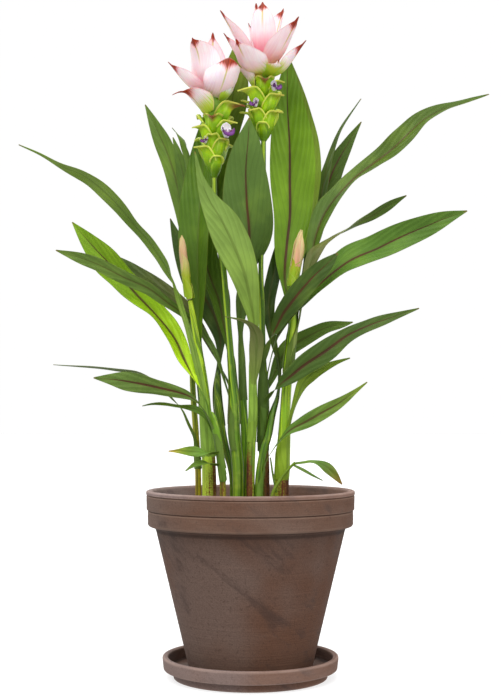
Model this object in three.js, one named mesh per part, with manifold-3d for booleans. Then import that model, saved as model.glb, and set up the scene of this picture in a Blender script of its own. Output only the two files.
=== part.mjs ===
// Potted siam tulip: a flowering plant in a clay pot that stands on a clay saucer.
// Millimetres, +Z up, the front faces -Y. The origin is under the middle of the saucer's foot.
import * as THREE from "three";
import { mergeVertices } from "three/addons/utils/BufferGeometryUtils.js";
import Module from "manifold-3d";

const wasm = await Module();
wasm.setup();

// Saucer
const SAUCER_FOOT_RADIUS = 66.6;
const SAUCER_FOOT_HEIGHT = 6.5;
const SAUCER_RADIUS = 76.2;
const SAUCER_HEIGHT = 19.1;
const SAUCER_LIP = 4.9;
const SAUCER_FLOOR = 8.2;

// Pot
const POT_BASE = 8.5;
const POT_BASE_RADIUS = 53.3;
const POT_WAIST_RADIUS = 81.8;
const POT_WAIST_HEIGHT = 127.6;
const COLLAR_RADIUS = 88.5;
const COLLAR_STEP = 144.3;
const RIM_RADIUS = 90;
const RIM_HEIGHT = 161.5;
const RIM_WALL = 5.5;
const RIM_ROUNDING = 1.2;
const POT_FLOOR = 14.5;
const POT_FLOOR_RADIUS = 46.5;
const DRAIN_RADIUS = 9;
const ROUND_SIDES = 32;

// Soil
const SOIL_HEIGHT = 143;
const SOIL_MOUND = 2.5;
const MOUND_RADIUS = 45;
const SOIL_EDGE_FALL = 2;
const SOIL_EDGE_WIDTH = 6;
const ROOT_HEIGHT = 118;

// Gap left between pieces that touch, and the least thickness of a blade
const GAP = 0.3;
const BLADE_EDGE = 0.75;
const BLADE_MIDRIB = 1.6;
const BRACT_THICKNESS = 0.9;
const STEM_SIDES = 8;
const HEAD_SIDES = 8;

// Leaf blades: the length of one step along them, the fewest and most steps, the points across a wide and a
// narrow blade, and the half width from which a blade is wide
const LEAF_STEP = 19;
const FEWEST_STEPS = 7;
const MOST_STEPS = 13;
const WIDE_POINTS = 5;
const NARROW_POINTS = 3;
const WIDE_LEAF = 7;

// How far below its first point a leaf leaves the middle of its stem
const SEAT_DROP = 8;

// Axes of the two flower heads: x, y, the foot of the green spike and the foot of the pink crown
const LEFT_HEAD = { x: -31.4, y: -3, foot: 431.5, crown: 499 };
const RIGHT_HEAD = { x: 11.2, y: 4, foot: 464.5, crown: 522 };

// Cores of the heads: the crown's as radius and height above its foot, the spike's as radius and share of its
// height. The cup and the lip of a floret are radius and height as shares of its size.
const CROWN_CORE = [[7, GAP], [6.5, 6], [4, 16]];
const SPIKE_CORE = [[2.2, 0], [5.5, 0.2], [7.4, 0.45], [8.4, 0.85], [7, 1]];
const FLORET_CUP = [[0.35, -1], [0.75, -0.3], [1, 0.4]];
const FLORET_LIP = [[0, 0], [1, -0.1], [1.5, -0.5]];
const LIP_HALF_WIDTH = 0.9;

// Forms of the bracts: where along its length a bract is widest, how sharply its sides close in, the radius
// that it bends to as a share of its half width, and how finely it is drawn
const PINK_FORM = { widest: 0.58, sharpness: 1.1, cup: 0.95, steps: 5, count: 4 };
const GREEN_FORM = { widest: 0.6, sharpness: 1, cup: 1, steps: 4, count: 3 };
const LIP_FORM = { widest: 0.6, sharpness: 1, cup: 1.1, steps: 4, count: 3 };

// Least half width of a bract at its foot and at its tip
const BRACT_FOOT = 2.5;
const BRACT_TIP = 0.7;

const VIEW = new THREE.Vector3(0, 1, 0);

// Leafy stems, from the soil up. A stem that flowers runs on as the stalk of its head or bud.
const stems = {
  stem_outer_left: {
    path: [[-46, 12, 178], [-48, 12, 213], [-50, 13, 239], [-51, 15, 261], [-50, 20, 283], [-52, 26, 310],
      [-54, 30, 337], [-55, 33, 360]],
    radii: [2.6, 2.6, 2.5, 2.4, 2.1, 1.6],
  },
  stem_thick_left: {
    path: [[-36, 0, 179], [-38, 0, 213], [-40, 0, 239], [-43, -1, 265], [-46, -2, 287], [-49, -3, 307],
      [-52, -5, 325]],
    radii: [6.2, 5.9, 4.9, 4.2, 2.9, 2.1],
  },
  stem_front_left: {
    path: [[-24, -14, 171], [-26, -15, 196], [-29, -16, 213], [-33, -16, 229]],
    radii: [2.6, 2.7, 2.9, 2.6],
  },
  stem_behind_left: {
    path: [[-16, 10, 174], [-22, 12, 198], [-26, 14, 217], [-29, 16, 239], [-29, 18, 266]],
    radii: [3, 3, 3.4, 3.6, 1.8],
  },
  stem_flower_left: {
    path: [[-11, -1, 179], [-14, -1, 213], [-14, -1, 239], [-16, -1, 265], [-18, 0, 291], [-21, 0, 326],
      [-24, 0, 359], [-29, -1, 391], [-31, -2, 412], [-31.4, -3, 431]],
    radii: [4.8, 5.2, 4.9, 3.2, 2.6, 2.6, 2.4, 2.3, 2.2],
  },
  stem_behind_middle: {
    path: [[-5, 10, 178], [-5, 10, 204], [-6, 10, 231], [-7, 11, 257], [-8, 12, 283]],
    radii: [2.6, 3.4, 3.4, 2.8, 2],
  },
  stem_front_middle: {
    path: [[0, -10, 179], [1, -10, 205], [2, -11, 231], [2, -12, 256]],
    radii: [3.4, 3.6, 3.2, 2.2],
  },
  stem_flower_right: {
    path: [[12, 1, 179], [11, 1, 205], [11, 1, 231], [11, 2, 257], [10, 3, 283], [10, 6, 318], [9, 8, 353],
      [10, 8, 388], [11, 6, 422], [11.2, 4, 456], [11.2, 4, 464]],
    radii: [4.2, 4.4, 4.2, 3.4, 2.6, 2.2, 2.2, 2.2, 2.2],
  },
  stem_front_right: {
    path: [[7, -9, 170], [11, -9, 196], [15, -8, 209], [18, -6, 224], [23, -2, 242]],
    radii: [3, 3.2, 3, 2.4, 1.5],
  },
  stem_thick_right: {
    path: [[27, -2, 179], [29, -2, 213], [31, -2, 248], [34, -2, 282], [37, -3, 307], [37, -3, 321],
      [36, -3, 336]],
    radii: [6.2, 6.2, 5, 4.3, 4.2, 3.4, 2.4],
  },
};

// Leaves, from the stem to the tip. The half widths and the turns are spread evenly over the length. A turn
// of 0 degrees shows the upper face to the front and 180 the underside. lean makes one half the wider.
const leaves = {
  leaf_tall_left: {
    stem: "stem_thick_left",
    path: [[-43, 0, 272], [-45, 3, 296], [-45, 5, 326], [-46, 8, 359], [-45, 12, 396], [-43, 17, 427],
      [-41, 22, 458], [-39, 26, 497]],
    halfWidths: [2.6, 3, 6, 11, 15.5, 18.5, 19, 17.5, 14, 8, 0.5],
    turn: [35, 35, 30, 20], fold: 33,
  },
  leaf_tall_middle: {
    stem: "stem_behind_middle",
    path: [[-8, 11, 281], [-9, 8, 302], [-7, 3, 326], [-3, -3, 353], [-1, -8, 381], [-3, -12, 406],
      [-4, -14, 436], [-2, -16, 461], [-1, -17, 480]],
    halfWidths: [2, 2, 5, 10.5, 17, 21, 22, 20.5, 17, 11, 0.5],
    turn: [0, 0, 0], fold: 10,
  },
  leaf_front_pale: {
    stem: "stem_front_middle",
    path: [[3, -12, 258], [3, -14, 282], [3, -20, 305], [-1, -28, 328], [-6, -36, 348], [-15, -43, 370],
      [-24, -48, 388], [-34, -50, 404], [-41, -51, 421], [-46, -52, 444]],
    halfWidths: [2, 2, 3, 5.7, 9.5, 12.8, 15, 13.5, 8, 3, 0.5],
    turn: [180, 180, 175, 170], fold: 8,
  },
  leaf_folded_small: {
    stem: "stem_front_middle",
    path: [[3, -13, 245], [4, -17, 263], [5, -22, 282], [5, -28, 294], [1, -35, 301], [-6, -40, 305],
      [-15, -44, 307], [-21, -47, 308]],
    halfWidths: [2.4, 2.6, 3.5, 5, 6, 6.5, 6, 4.5, 3, 1.5, 0.5],
    turn: [180, 180, 215, 240, 245], fold: 15,
  },
  leaf_tall_right: {
    stem: "stem_thick_right",
    path: [[34, 0, 304], [33, 6, 320], [30, 16, 348], [32, 22, 376], [35, 29, 403], [35, 34, 435],
      [35, 37, 467], [33, 38, 504], [33, 38, 544]],
    halfWidths: [2, 2.6, 6.5, 14, 18, 21.3, 23.6, 22.4, 18, 11.8, 2.5],
    turn: [-20, -15, -10, -5, 0], fold: 12, lean: 0.2,
  },
  leaf_long_right: {
    stem: "stem_thick_right",
    path: [[42, -1, 318], [48, 8, 340], [53, 15, 360], [57, 18, 382], [66, 23, 405], [80, 31, 424],
      [96, 41, 441], [113, 51, 455], [129, 58, 468], [144, 63, 483], [160, 67, 498], [179, 70, 508],
      [197, 72, 514], [220, 74, 522]],
    halfWidths: [2, 3, 5.5, 9, 11, 10, 10, 10.5, 9.5, 5.2, 0.5],
    turn: [35, 30, 45, 25, 40, 30], fold: 30, wave: 2.5, waves: 2.5,
  },
  leaf_narrow_right: {
    stem: "stem_thick_right",
    path: [[40, 3, 326], [44, 15, 340], [49, 26, 354], [54, 36, 381], [62, 43, 413], [66, 48, 436],
      [73, 53, 463], [82, 57, 486], [92, 60, 502], [101, 62, 515]],
    halfWidths: [1.3, 1.8, 3, 5, 6.5, 7, 6.5, 5, 3.5, 2, 0.5],
    turn: [35, 35, 35, 45, 55], fold: 10,
  },
  leaf_dark_upper_right: {
    stem: "stem_thick_right",
    path: [[38, 1, 314], [42, 14, 328], [46, 26, 344], [51, 38, 364], [56, 49, 383], [61, 57, 411],
      [68, 62, 430], [77, 66, 453], [88, 69, 473], [95, 70, 485], [102, 71, 496]],
    halfWidths: [1.3, 1.5, 2, 3, 5.5, 8, 9.5, 9, 7, 4, 0.5],
    turn: [20, 15, 0, 0], fold: 15,
  },
  leaf_twisted_right: {
    stem: "stem_thick_right",
    path: [[41, -5, 304], [44, -6, 322], [48, -7, 341], [52, -5, 359], [59, 0, 372], [70, 7, 381],
      [84, 15, 389], [97, 19, 397], [107, 21, 402], [119, 20, 409], [129, 18, 415], [137, 16, 419]],
    halfWidths: [1.3, 1.5, 3, 4.5, 5.5, 6, 5.5, 5, 4.5, 4, 0.5],
    turn: [215, 215, 215, 245, 275, 330, 345], fold: 12,
  },
  leaf_broad_right: {
    stem: "stem_flower_right",
    path: [[13, 3, 250], [19, -1, 280], [29, -12, 305], [42, -15, 322], [56, -17, 335], [70, -21, 347],
      [86, -25, 358], [106, -31, 366], [125, -37, 375], [145, -43, 383], [163, -48, 390], [179, -52, 395]],
    halfWidths: [2, 2, 3, 6, 10, 13, 15, 13.5, 11.4, 8, 0.5],
    turn: [45, 45, 45, 45, 47, 45, 32, 8, 0, 0], fold: 20,
  },
  leaf_dark_front_right: {
    stem: "stem_flower_right",
    path: [[10, -2, 267], [15, -9, 286], [22, -14, 301], [28, -19, 313], [35, -24, 322], [43, -28, 332],
      [54, -32, 344], [64, -34, 353], [73, -35, 362]],
    halfWidths: [2, 2, 3, 4.5, 6, 7.7, 9, 9, 8, 6, 1],
    turn: [10, 5, 0], fold: 10,
  },
  leaf_middle_right_back: {
    stem: "stem_flower_right",
    path: [[12, 5, 244], [18, 9, 256], [25, 13, 272], [33, 14, 285], [41, 14, 290], [54, 12, 297],
      [67, 9, 303], [80, 6, 305], [89, 4, 307]],
    halfWidths: [1.6, 1.6, 3, 5, 7, 7.8, 7.4, 6.3, 5.2, 3.5, 0.5],
    turn: [10, 10, 5], fold: 12,
  },
  leaf_middle_right: {
    stem: "stem_flower_right",
    path: [[12, -4, 237], [17, -10, 244], [26, -14, 253], [35, -17, 260], [46, -20, 269], [63, -25, 280],
      [81, -30, 293], [98, -35, 301], [118, -41, 308], [140, -46, 315]],
    halfWidths: [1.6, 2.2, 4.5, 7.8, 9.5, 9.6, 7.2, 5.7, 5, 2.7, 0.5],
    turn: [5, 0, 20, 5], fold: 12,
  },
  leaf_low_right_narrow: {
    stem: "stem_thick_right",
    path: [[32, -5, 212], [35, -9, 226], [40, -11, 242], [45, -12, 254], [52, -13, 261], [63, -14, 267],
      [75, -15, 272], [85, -16, 275]],
    halfWidths: [2, 2, 1.8, 2.5, 4, 5.5, 6, 5, 3.5, 1.8, 0.5],
    turn: [20, 90, 200, 200], fold: 12,
  },
  leaf_low_right: {
    stem: "stem_front_right",
    path: [[13, -9, 186], [17, -11, 193], [24, -14, 203], [33, -17, 213], [44, -20, 219], [60, -24, 228],
      [77, -29, 238], [98, -34, 254]],
    halfWidths: [1.6, 1.4, 1.6, 2.6, 4.2, 6, 6.3, 5.5, 3.8, 1.9, 0.5],
    turn: [10, 5, 0], fold: 10,
  },
  leaf_long_left: {
    stem: "stem_thick_left",
    path: [[-39, -3, 232], [-41, -7, 248], [-45, -12, 267], [-50, -17, 288], [-55, -19, 306],
      [-60, -19, 322], [-65, -20, 338], [-74, -21, 356], [-85, -24, 372], [-97, -28, 386], [-109, -33, 400],
      [-123, -39, 414], [-138, -45, 425], [-156, -51, 432], [-173, -56, 441], [-190, -60, 448]],
    halfWidths: [2.6, 3, 3.5, 5.5, 7.5, 8.5, 8, 8.5, 7.5, 2.5, 0.5],
    turn: [30, 45, 60, 62, 62, 62, 62, 50, 60, 60, 60], fold: 8,
  },
  leaf_outer_left: {
    stem: "stem_outer_left",
    path: [[-54, 29, 328], [-55, 42, 356], [-57, 49, 383], [-62, 54, 416], [-68, 58, 441], [-77, 62, 468],
      [-87, 66, 490], [-97, 72, 512]],
    halfWidths: [1.6, 1.6, 2.5, 4.5, 6.5, 8, 8.8, 8.6, 8.2, 4.8, 0.5],
    turn: [25, 20, 10], fold: 14,
  },
  leaf_back_left_upper: {
    stem: "stem_outer_left",
    path: [[-54, 30, 338], [-53, 31, 359], [-53, 31, 385], [-52, 31, 411], [-52, 32, 438], [-55, 33, 458],
      [-62, 35, 473], [-70, 37, 483]],
    halfWidths: [1.2, 1.4, 1.6, 2, 2.8, 4, 5.2, 6.2, 6.2, 4, 0.5],
    turn: [0, 0, 10], fold: 10,
  },
  leaf_back_left_lower: {
    stem: "stem_outer_left",
    path: [[-54, 33, 350], [-53, 37, 366], [-54, 40, 386], [-56, 42, 413], [-60, 44, 440], [-65, 46, 461],
      [-70, 49, 477]],
    halfWidths: [1.2, 1.4, 2, 3.5, 5, 6.5, 7.3, 7, 5.5, 3.2, 0.5],
    turn: [0, 0, 0], fold: 10,
  },
  leaf_dark_left_back: {
    stem: "stem_behind_left",
    path: [[-29, 18, 258], [-27, 26, 282], [-27, 33, 297], [-33, 42, 317], [-42, 48, 333], [-53, 52, 353],
      [-62, 55, 374], [-69, 57, 393], [-73, 58, 405]],
    halfWidths: [1.5, 1.6, 3, 6.5, 10, 12, 12, 10.5, 8, 4.5, 0.5],
    turn: [20, 10, 0], fold: 12,
  },
  leaf_dark_middle_back: {
    stem: "stem_flower_left",
    path: [[-17, 2, 260], [-19, 10, 283], [-24, 18, 308], [-28, 22, 328], [-34, 25, 343], [-39, 26, 359],
      [-42, 26, 377], [-44, 25, 395], [-48, 24, 422]],
    halfWidths: [1.6, 1.6, 2.5, 5.5, 9, 12, 13, 12, 9, 5, 0.5],
    turn: [-20, -30, -30], fold: 28,
  },
  leaf_behind_flower: {
    stem: "stem_flower_left",
    path: [[-18, 1, 278], [-20, 6, 300], [-22, 12, 335], [-26, 17, 370], [-29, 20, 406], [-29, 24, 432],
      [-26, 28, 459], [-22, 30, 482], [-17, 31, 502], [-14, 32, 523], [-13, 32, 542], [-12, 33, 560]],
    halfWidths: [1.5, 1.5, 1.8, 2.5, 4, 7, 10, 13, 14, 11, 0.5],
    turn: [0, 0, 0], fold: 12,
  },
  leaf_dark_inner_right: {
    stem: "stem_front_right",
    path: [[22, -3, 236], [25, 3, 253], [25, 6, 270], [21, 9, 287], [17, 13, 308], [16, 17, 326],
      [20, 21, 348], [25, 25, 372], [30, 28, 397]],
    halfWidths: [1.3, 1.3, 1.6, 2.2, 3.5, 5, 6, 6.3, 5.5, 3.5, 0.5],
    turn: [0, 0, 0], fold: 15,
  },
  leaf_bright_left: {
    stem: "stem_front_left",
    path: [[-34, -16, 225], [-39, -18, 240], [-47, -15, 255], [-56, -8, 272], [-66, 0, 293], [-83, 6, 314],
      [-101, 9, 333], [-120, 11, 355], [-138, 12, 374], [-156, 12, 395]],
    halfWidths: [2.4, 2.5, 4, 7.5, 10.5, 13, 11.5, 11.8, 13.3, 8.1, 0.5],
    turn: [0, 0, -10, -20, -42, -55, -25, 5, 12, 0, 0], fold: 25,
  },
  leaf_dark_left: {
    stem: "stem_flower_left",
    path: [[-17, -1, 237], [-23, 4, 257], [-30, 8, 279], [-38, 13, 294], [-47, 14, 307], [-56, 9, 313],
      [-65, 0, 319], [-74, -4, 325], [-87, -7, 335], [-101, -9, 341], [-116, -12, 348], [-130, -15, 355],
      [-145, -19, 360], [-165, -24, 366]],
    halfWidths: [1.6, 1.6, 2, 2.6, 3.2, 4.2, 5.7, 6.1, 6, 5, 0.5],
    turn: [20, 30, 30, 20, 0], fold: 14,
  },
  leaf_grey_left: {
    stem: "stem_flower_left",
    path: [[-18, 2, 252], [-23, 8, 262], [-30, 13, 276], [-38, 17, 292], [-47, 19, 308], [-57, 20, 321],
      [-70, 24, 332], [-85, 28, 343], [-99, 32, 353], [-109, 34, 361], [-117, 36, 367]],
    halfWidths: [1.4, 1.4, 2, 3, 4, 5, 6, 6.5, 6, 4, 0.5],
    turn: [200, 200, 190], fold: 12, drop: 4,
  },
  leaf_low_left: {
    stem: "stem_front_left",
    path: [[-32, -17, 214], [-36, -21, 224], [-42, -24, 234], [-51, -28, 242], [-63, -34, 246],
      [-80, -41, 250], [-100, -48, 254], [-116, -53, 256], [-129, -57, 257]],
    halfWidths: [1.8, 1.6, 1.5, 2, 4.2, 5.6, 6.4, 7.9, 7.8, 4.3, 0.5],
    turn: [15, 5, 0], fold: 8, wave: 1.2, waves: 2,
  },
  leaf_edge_on_left: {
    stem: "stem_outer_left",
    path: [[-47, 10, 196], [-49, 6, 208], [-54, 2, 219], [-59, -1, 231], [-68, -4, 241], [-76, -7, 250],
      [-85, -10, 257], [-96, -13, 263], [-112, -16, 265], [-132, -20, 267], [-167, -25, 269]],
    halfWidths: [1.6, 1.4, 1.3, 1.4, 2, 3, 4, 4.5, 4, 2.5, 0.5],
    turn: [20, 40, 70, 80, 80], fold: 10,
  },
  leaf_narrow_low_left: {
    stem: "stem_front_left",
    path: [[-33, -13, 212], [-37, -12, 223], [-44, -14, 230], [-52, -17, 233], [-62, -20, 234],
      [-73, -24, 236], [-83, -28, 236], [-91, -31, 234]],
    halfWidths: [1.4, 1.6, 2, 3, 3.2, 2.6, 2, 2, 2.2, 1.5, 0.5],
    turn: [40, 50, 60], fold: 10,
  },
  leaf_short_left: {
    stem: "stem_front_left",
    path: [[-27, -15, 192], [-33, -20, 194], [-43, -24, 195], [-53, -27, 196], [-62, -30, 196],
      [-69, -32, 196]],
    halfWidths: [3.4, 4, 4.5, 4.6, 4.6, 4.6, 4.3, 3.4, 2.2, 1.2, 0.5],
    turn: [0, 0, 0], fold: 8, drop: 1,
  },
  leaf_lowest_left: {
    stem: "stem_front_left",
    path: [[-25, -14, 182], [-31, -18, 184], [-40, -21, 186], [-48, -24, 184], [-55, -26, 179]],
    halfWidths: [2.6, 3, 3.5, 3.8, 3.8, 3.5, 3, 2.4, 1.7, 1, 0.5],
    turn: [0, 0, 0], fold: 8, drop: 1,
  },
};

// The low sprig at the right: a stalk from the soil, a bent blade with a dry tip, a narrow one and a twig
const sprig = {
  foot: [16, -14],
  stalk: [[17, -14, 149], [20, -15, 162], [27, -17, 173], [34, -19, 182], [38, -20, 186]],
  stalkRadii: [1.8, 1.8, 1.5, 1.3],
  twig: [[22, -14, 160], [19, -14, 176], [17, -15, 190]],
  twigRadii: [0.8, 0.9, 0.6],
  blades: [
    { path: [[37, -20, 185], [44, -22, 186], [52, -24, 187], [60, -27, 185], [68, -30, 179], [77, -32, 168]],
      halfWidths: [1, 1.1, 1.6, 2.4, 3.6, 4.4, 3.8, 2.4, 0.5], turn: [0, 60, 0, 0], fold: 8 },
    { path: [[36, -20, 184], [44, -22, 180], [53, -25, 175], [61, -27, 171]],
      halfWidths: [1, 1.6, 2, 2, 1.6, 1, 0.5], turn: [50, 60], fold: 8 },
  ],
};

// Pink bracts of each crown: azimuth from the front, positive to the right, then radius and height above
// the crown's foot of the points of the middle line, and the half width
const crowns = {
  crown_left: [
    { azimuth: 28, line: [[4, 1], [19, 8], [26, 23], [22, 33]], halfWidth: 18 },
    { azimuth: -42, line: [[3, 3], [15, 18], [20, 35], [27, 47]], halfWidth: 17 },
    { azimuth: -80, line: [[4, 1], [22, 10], [40, 30]], halfWidth: 12 },
    { azimuth: -58, line: [[6, 1], [15, 2], [29, 3], [40, -1]], halfWidth: 12 },
    { azimuth: -172, line: [[3, 4], [10, 28], [10, 60]], halfWidth: 13 },
    { azimuth: -135, line: [[3, 4], [13, 26], [17, 54]], halfWidth: 12 },
    { azimuth: 120, line: [[3, 4], [13, 20], [16, 38]], halfWidth: 12 },
    { azimuth: 66, line: [[5, 1], [13, 3], [17, 7], [19, 12]], halfWidth: 8 },
    { azimuth: 150, line: [[5, 1], [16, 5], [26, 16], [33, 22]], halfWidth: 12 },
    { azimuth: -150, line: [[5, 1], [17, 4], [28, 8], [36, 10]], halfWidth: 12 },
  ],
  crown_right: [
    { azimuth: -5, line: [[3, 8], [10, 30], [12, 48], [9, 60]], halfWidth: 13.5 },
    { azimuth: 48, line: [[4, 3], [20, 17], [40, 42]], halfWidth: 13 },
    { azimuth: -62, line: [[3, 4], [20, 20], [42, 49.5]], halfWidth: 9.5 },
    { azimuth: -80, line: [[4, 2], [20, 11], [35, 34]], halfWidth: 11 },
    { azimuth: -35, line: [[5, 1], [21, 4], [33, 12], [41, 21]], halfWidth: 15 },
    { azimuth: 22, line: [[5, 1], [16, 2], [23, 5], [25, 9]], halfWidth: 11 },
    { azimuth: 76, line: [[5, 1], [18, 3], [38, 27]], halfWidth: 9 },
    { azimuth: -155, line: [[3, 4], [11, 32], [15, 66]], halfWidth: 10 },
    { azimuth: 132, line: [[3, 4], [13, 30], [24, 62]], halfWidth: 12 },
    { azimuth: -112, line: [[3, 5], [10, 24], [14, 46]], halfWidth: 10 },
    { azimuth: 150, line: [[5, 1], [16, 4], [28, 14], [36, 20]], halfWidth: 12 },
    { azimuth: -142, line: [[5, 1], [14, 5], [21, 14], [24, 22]], halfWidth: 9 },
  ],
};

// Green bracts of each spike: azimuth, height and radius of the edge, radius and height of the tip, and the
// half width
const spikes = {
  spike_left: [
    [-5, 485, 12, 19, 481.5, 10], [62, 494, 13, 28, 491, 11], [-62, 475, 11, 18, 474, 9],
    [58, 479, 12, 21, 477.5, 9], [-6, 467, 11, 14, 467, 8], [40, 463, 11.5, 16, 463.5, 9],
    [-50, 457, 11, 20, 457, 10], [20, 449, 9, 11, 449.5, 7], [125, 485, 13, 17, 485.5, 10],
    [-130, 487, 13, 18, 487, 10], [175, 474, 12, 17, 475, 9], [110, 460, 11, 16, 461, 8],
    [-115, 466, 11, 16, 467, 8], [165, 454, 10, 14, 455, 7], [-160, 495, 13, 16, 496, 9],
  ],
  spike_right: [
    [5, 518, 12, 17, 515, 10], [70, 515, 12, 17, 515.5, 8], [-52, 509, 13, 25, 505.5, 11],
    [48, 503, 12.5, 21, 502, 10], [-82, 497, 10, 17.5, 500, 6], [-86, 488, 10, 19, 490, 6],
    [-38, 490.5, 11.5, 17, 489.5, 9], [46, 488, 11.5, 20, 488, 9], [-5, 478, 9.5, 11, 479, 7],
    [120, 508, 13, 17, 508.5, 10], [-140, 511, 13, 18, 511, 10], [175, 501, 12, 17, 502, 9],
    [115, 492, 11, 16, 493, 8], [-125, 497, 11, 16, 498, 8], [165, 485, 10, 14, 486, 7],
  ],
};

// Small violet flowers that look out of the green bracts: x, y, z of the throat and the azimuth they face
const florets = {
  floret_left_upper: { place: [-20.5, -16.5, 468.3], azimuth: 42, size: 5.2 },
  floret_left_lower: { place: [-38.6, -13, 461.5], azimuth: -35, size: 2.6 },
  floret_right_upper: { place: [20.5, -9, 508.5], azimuth: 40, size: 3.8 },
  floret_right_lower: { place: [4.3, -8, 494.5], azimuth: -35, size: 3.2 },
};

// Closed buds on the thick stems
const BUD_STEPS = 8;
const buds = {
  bud_left: {
    path: [[-52.3, -5.2, 325.8], [-55, -6, 342], [-57.5, -6, 362], [-60, -6, 381]],
    radii: [2.1, 4.2, 4.4, 4.2, 3.4, 0.5],
  },
  bud_right: {
    path: [[36, -3.1, 336.6], [38.5, -4, 352], [41.5, -5, 370], [44, -5, 386]],
    radii: [2.4, 4.6, 5, 4.6, 3, 0.5],
  },
};

const vector = (point) => new THREE.Vector3(point[0], point[1], point[2]);

function spread(values, share) {
  // Reads a list that is spread evenly over a length, at a share of that length
  const place = share * (values.length - 1);
  const low = Math.min(Math.floor(place), values.length - 2);
  return THREE.MathUtils.lerp(values[low], values[low + 1], place - low);
}

function signedVolume(positions, faces) {
  let total = 0;
  for (const [a, b, c] of faces) total += positions[a].dot(positions[b].clone().cross(positions[c]));
  return total / 6;
}

// Closed body through rings of equal count. The second half of each ring takes the other diagonal, so
// that the two faces of a thin blade are split alike.
function loft(rings) {
  const count = rings[0].length;
  const positions = rings.flat();
  const faces = [];
  for (let i = 0; i < rings.length - 1; i++) {
    for (let j = 0; j < count; j++) {
      const next = (j + 1) % count;
      const [a, b] = [i * count + j, i * count + next];
      const [c, d] = [a + count, b + count];
      if (j < count / 2) faces.push([a, b, d], [a, d, c]);
      else faces.push([a, b, c], [b, d, c]);
    }
  }
  const last = (rings.length - 1) * count;
  for (let j = 0; j < count / 2 - 1; j++) {
    const far = count - 1 - j;
    faces.push([j, far, j + 1], [far, far - 1, j + 1]);
    faces.push([last + j, last + j + 1, last + far], [last + far, last + j + 1, last + far - 1]);
  }
  if (signedVolume(positions, faces) < 0) faces.forEach((face) => face.reverse());
  const geometry = new THREE.BufferGeometry();
  geometry.setAttribute("position", new THREE.Float32BufferAttribute(positions.flatMap((p) => p.toArray()), 3));
  geometry.setIndex(faces.flat());
  return geometry;
}

function curveThrough(points) {
  return new THREE.CatmullRomCurve3(points.map(vector), false, "centripetal");
}

// Round stem along a curve, with its radius spread along the length
function tube(path, radii, steps, grow = 0) {
  const curve = curveThrough(path);
  const rings = [];
  for (let i = 0; i <= steps; i++) {
    const share = i / steps;
    const middle = curve.getPointAt(share);
    const tangent = curve.getTangentAt(share);
    const side = new THREE.Vector3().crossVectors(VIEW, tangent).normalize();
    const front = new THREE.Vector3().crossVectors(side, tangent).normalize();
    const radius = spread(radii, share) + grow;
    const ring = [];
    for (let j = 0; j < STEM_SIDES; j++) {
      const angle = ((j + 0.5) / STEM_SIDES) * 2 * Math.PI;
      ring.push(middle.clone()
        .addScaledVector(side, radius * Math.cos(angle))
        .addScaledVector(front, radius * Math.sin(angle)));
    }
    rings.push(ring);
  }
  return loft(rings);
}

// A stem goes straight down from its first point into the soil
function stemTube(stem, grow = 0) {
  const [x, y] = stem.path[0];
  const path = [[x, y, ROOT_HEIGHT - grow], ...stem.path];
  return tube(path, [stem.radii[0], ...stem.radii], stem.path.length, grow);
}

// Share of the full half width at a share of a bract's length
function bractOutline(share, widest, sharpness) {
  if (share <= 0 || share >= 1) return 0;
  const rise = (share / widest) ** (sharpness * widest);
  const fall = ((1 - share) / (1 - widest)) ** (sharpness * (1 - widest));
  return rise * fall;
}

// Ring round a thin blade: the upper face from one edge to the other, then the lower face back
function bladeRing(frame, count, shape, thickness) {
  const upper = [];
  const lower = [];
  for (let i = 0; i < count; i++) {
    const s = (2 * i) / (count - 1) - 1;
    const { out, lift, tilt } = shape(s);
    const point = frame.middle.clone()
      .addScaledVector(frame.across, out)
      .addScaledVector(frame.normal, lift);
    const away = frame.normal.clone().multiplyScalar(Math.cos(tilt))
      .addScaledVector(frame.across, -Math.sin(tilt));
    upper.push(point.clone().addScaledVector(away, BLADE_EDGE / 2));
    lower.push(point.clone().addScaledVector(away, BLADE_EDGE / 2 - thickness(s)));
  }
  return upper.concat(lower.reverse());
}

// Leaf: a stalk that widens into a pointed blade, folded along its midrib and waved at its edges
function leafBlade(leaf, path, steps, count) {
  const curve = curveThrough(path);
  const fold = THREE.MathUtils.degToRad(leaf.fold);
  const widest = Math.max(...leaf.halfWidths);
  const rings = [];
  for (let i = 0; i <= steps; i++) {
    const share = i / steps;
    const tangent = curve.getTangentAt(share);
    const side = new THREE.Vector3().crossVectors(VIEW, tangent).normalize();
    const front = new THREE.Vector3().crossVectors(side, tangent).normalize();
    const turn = THREE.MathUtils.degToRad(spread(leaf.turn, share));
    const across = side.clone().multiplyScalar(Math.cos(turn)).addScaledVector(front, Math.sin(turn));
    const normal = front.clone().multiplyScalar(Math.cos(turn)).addScaledVector(side, -Math.sin(turn));
    const half = spread(leaf.halfWidths, share);
    const wave = (leaf.wave ?? 0) * Math.sin(2 * Math.PI * (leaf.waves ?? 0) * share) * (half / widest);
    const frame = { middle: curve.getPointAt(share), across, normal };
    const shape = (s) => {
      const reach = half * Math.abs(s) * (1 + s * (leaf.lean ?? 0));
      return {
        out: Math.sign(s) * reach * Math.cos(fold),
        lift: reach * Math.sin(fold) + s * Math.abs(s) * wave,
        tilt: Math.sign(s) * fold,
      };
    };
    const keel = (BLADE_MIDRIB - BLADE_EDGE) * Math.min(1, half / 3);
    rings.push(bladeRing(frame, count, shape, (s) => BLADE_EDGE + keel * (1 - Math.abs(s)) ** 2));
  }
  return loft(rings);
}

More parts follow.
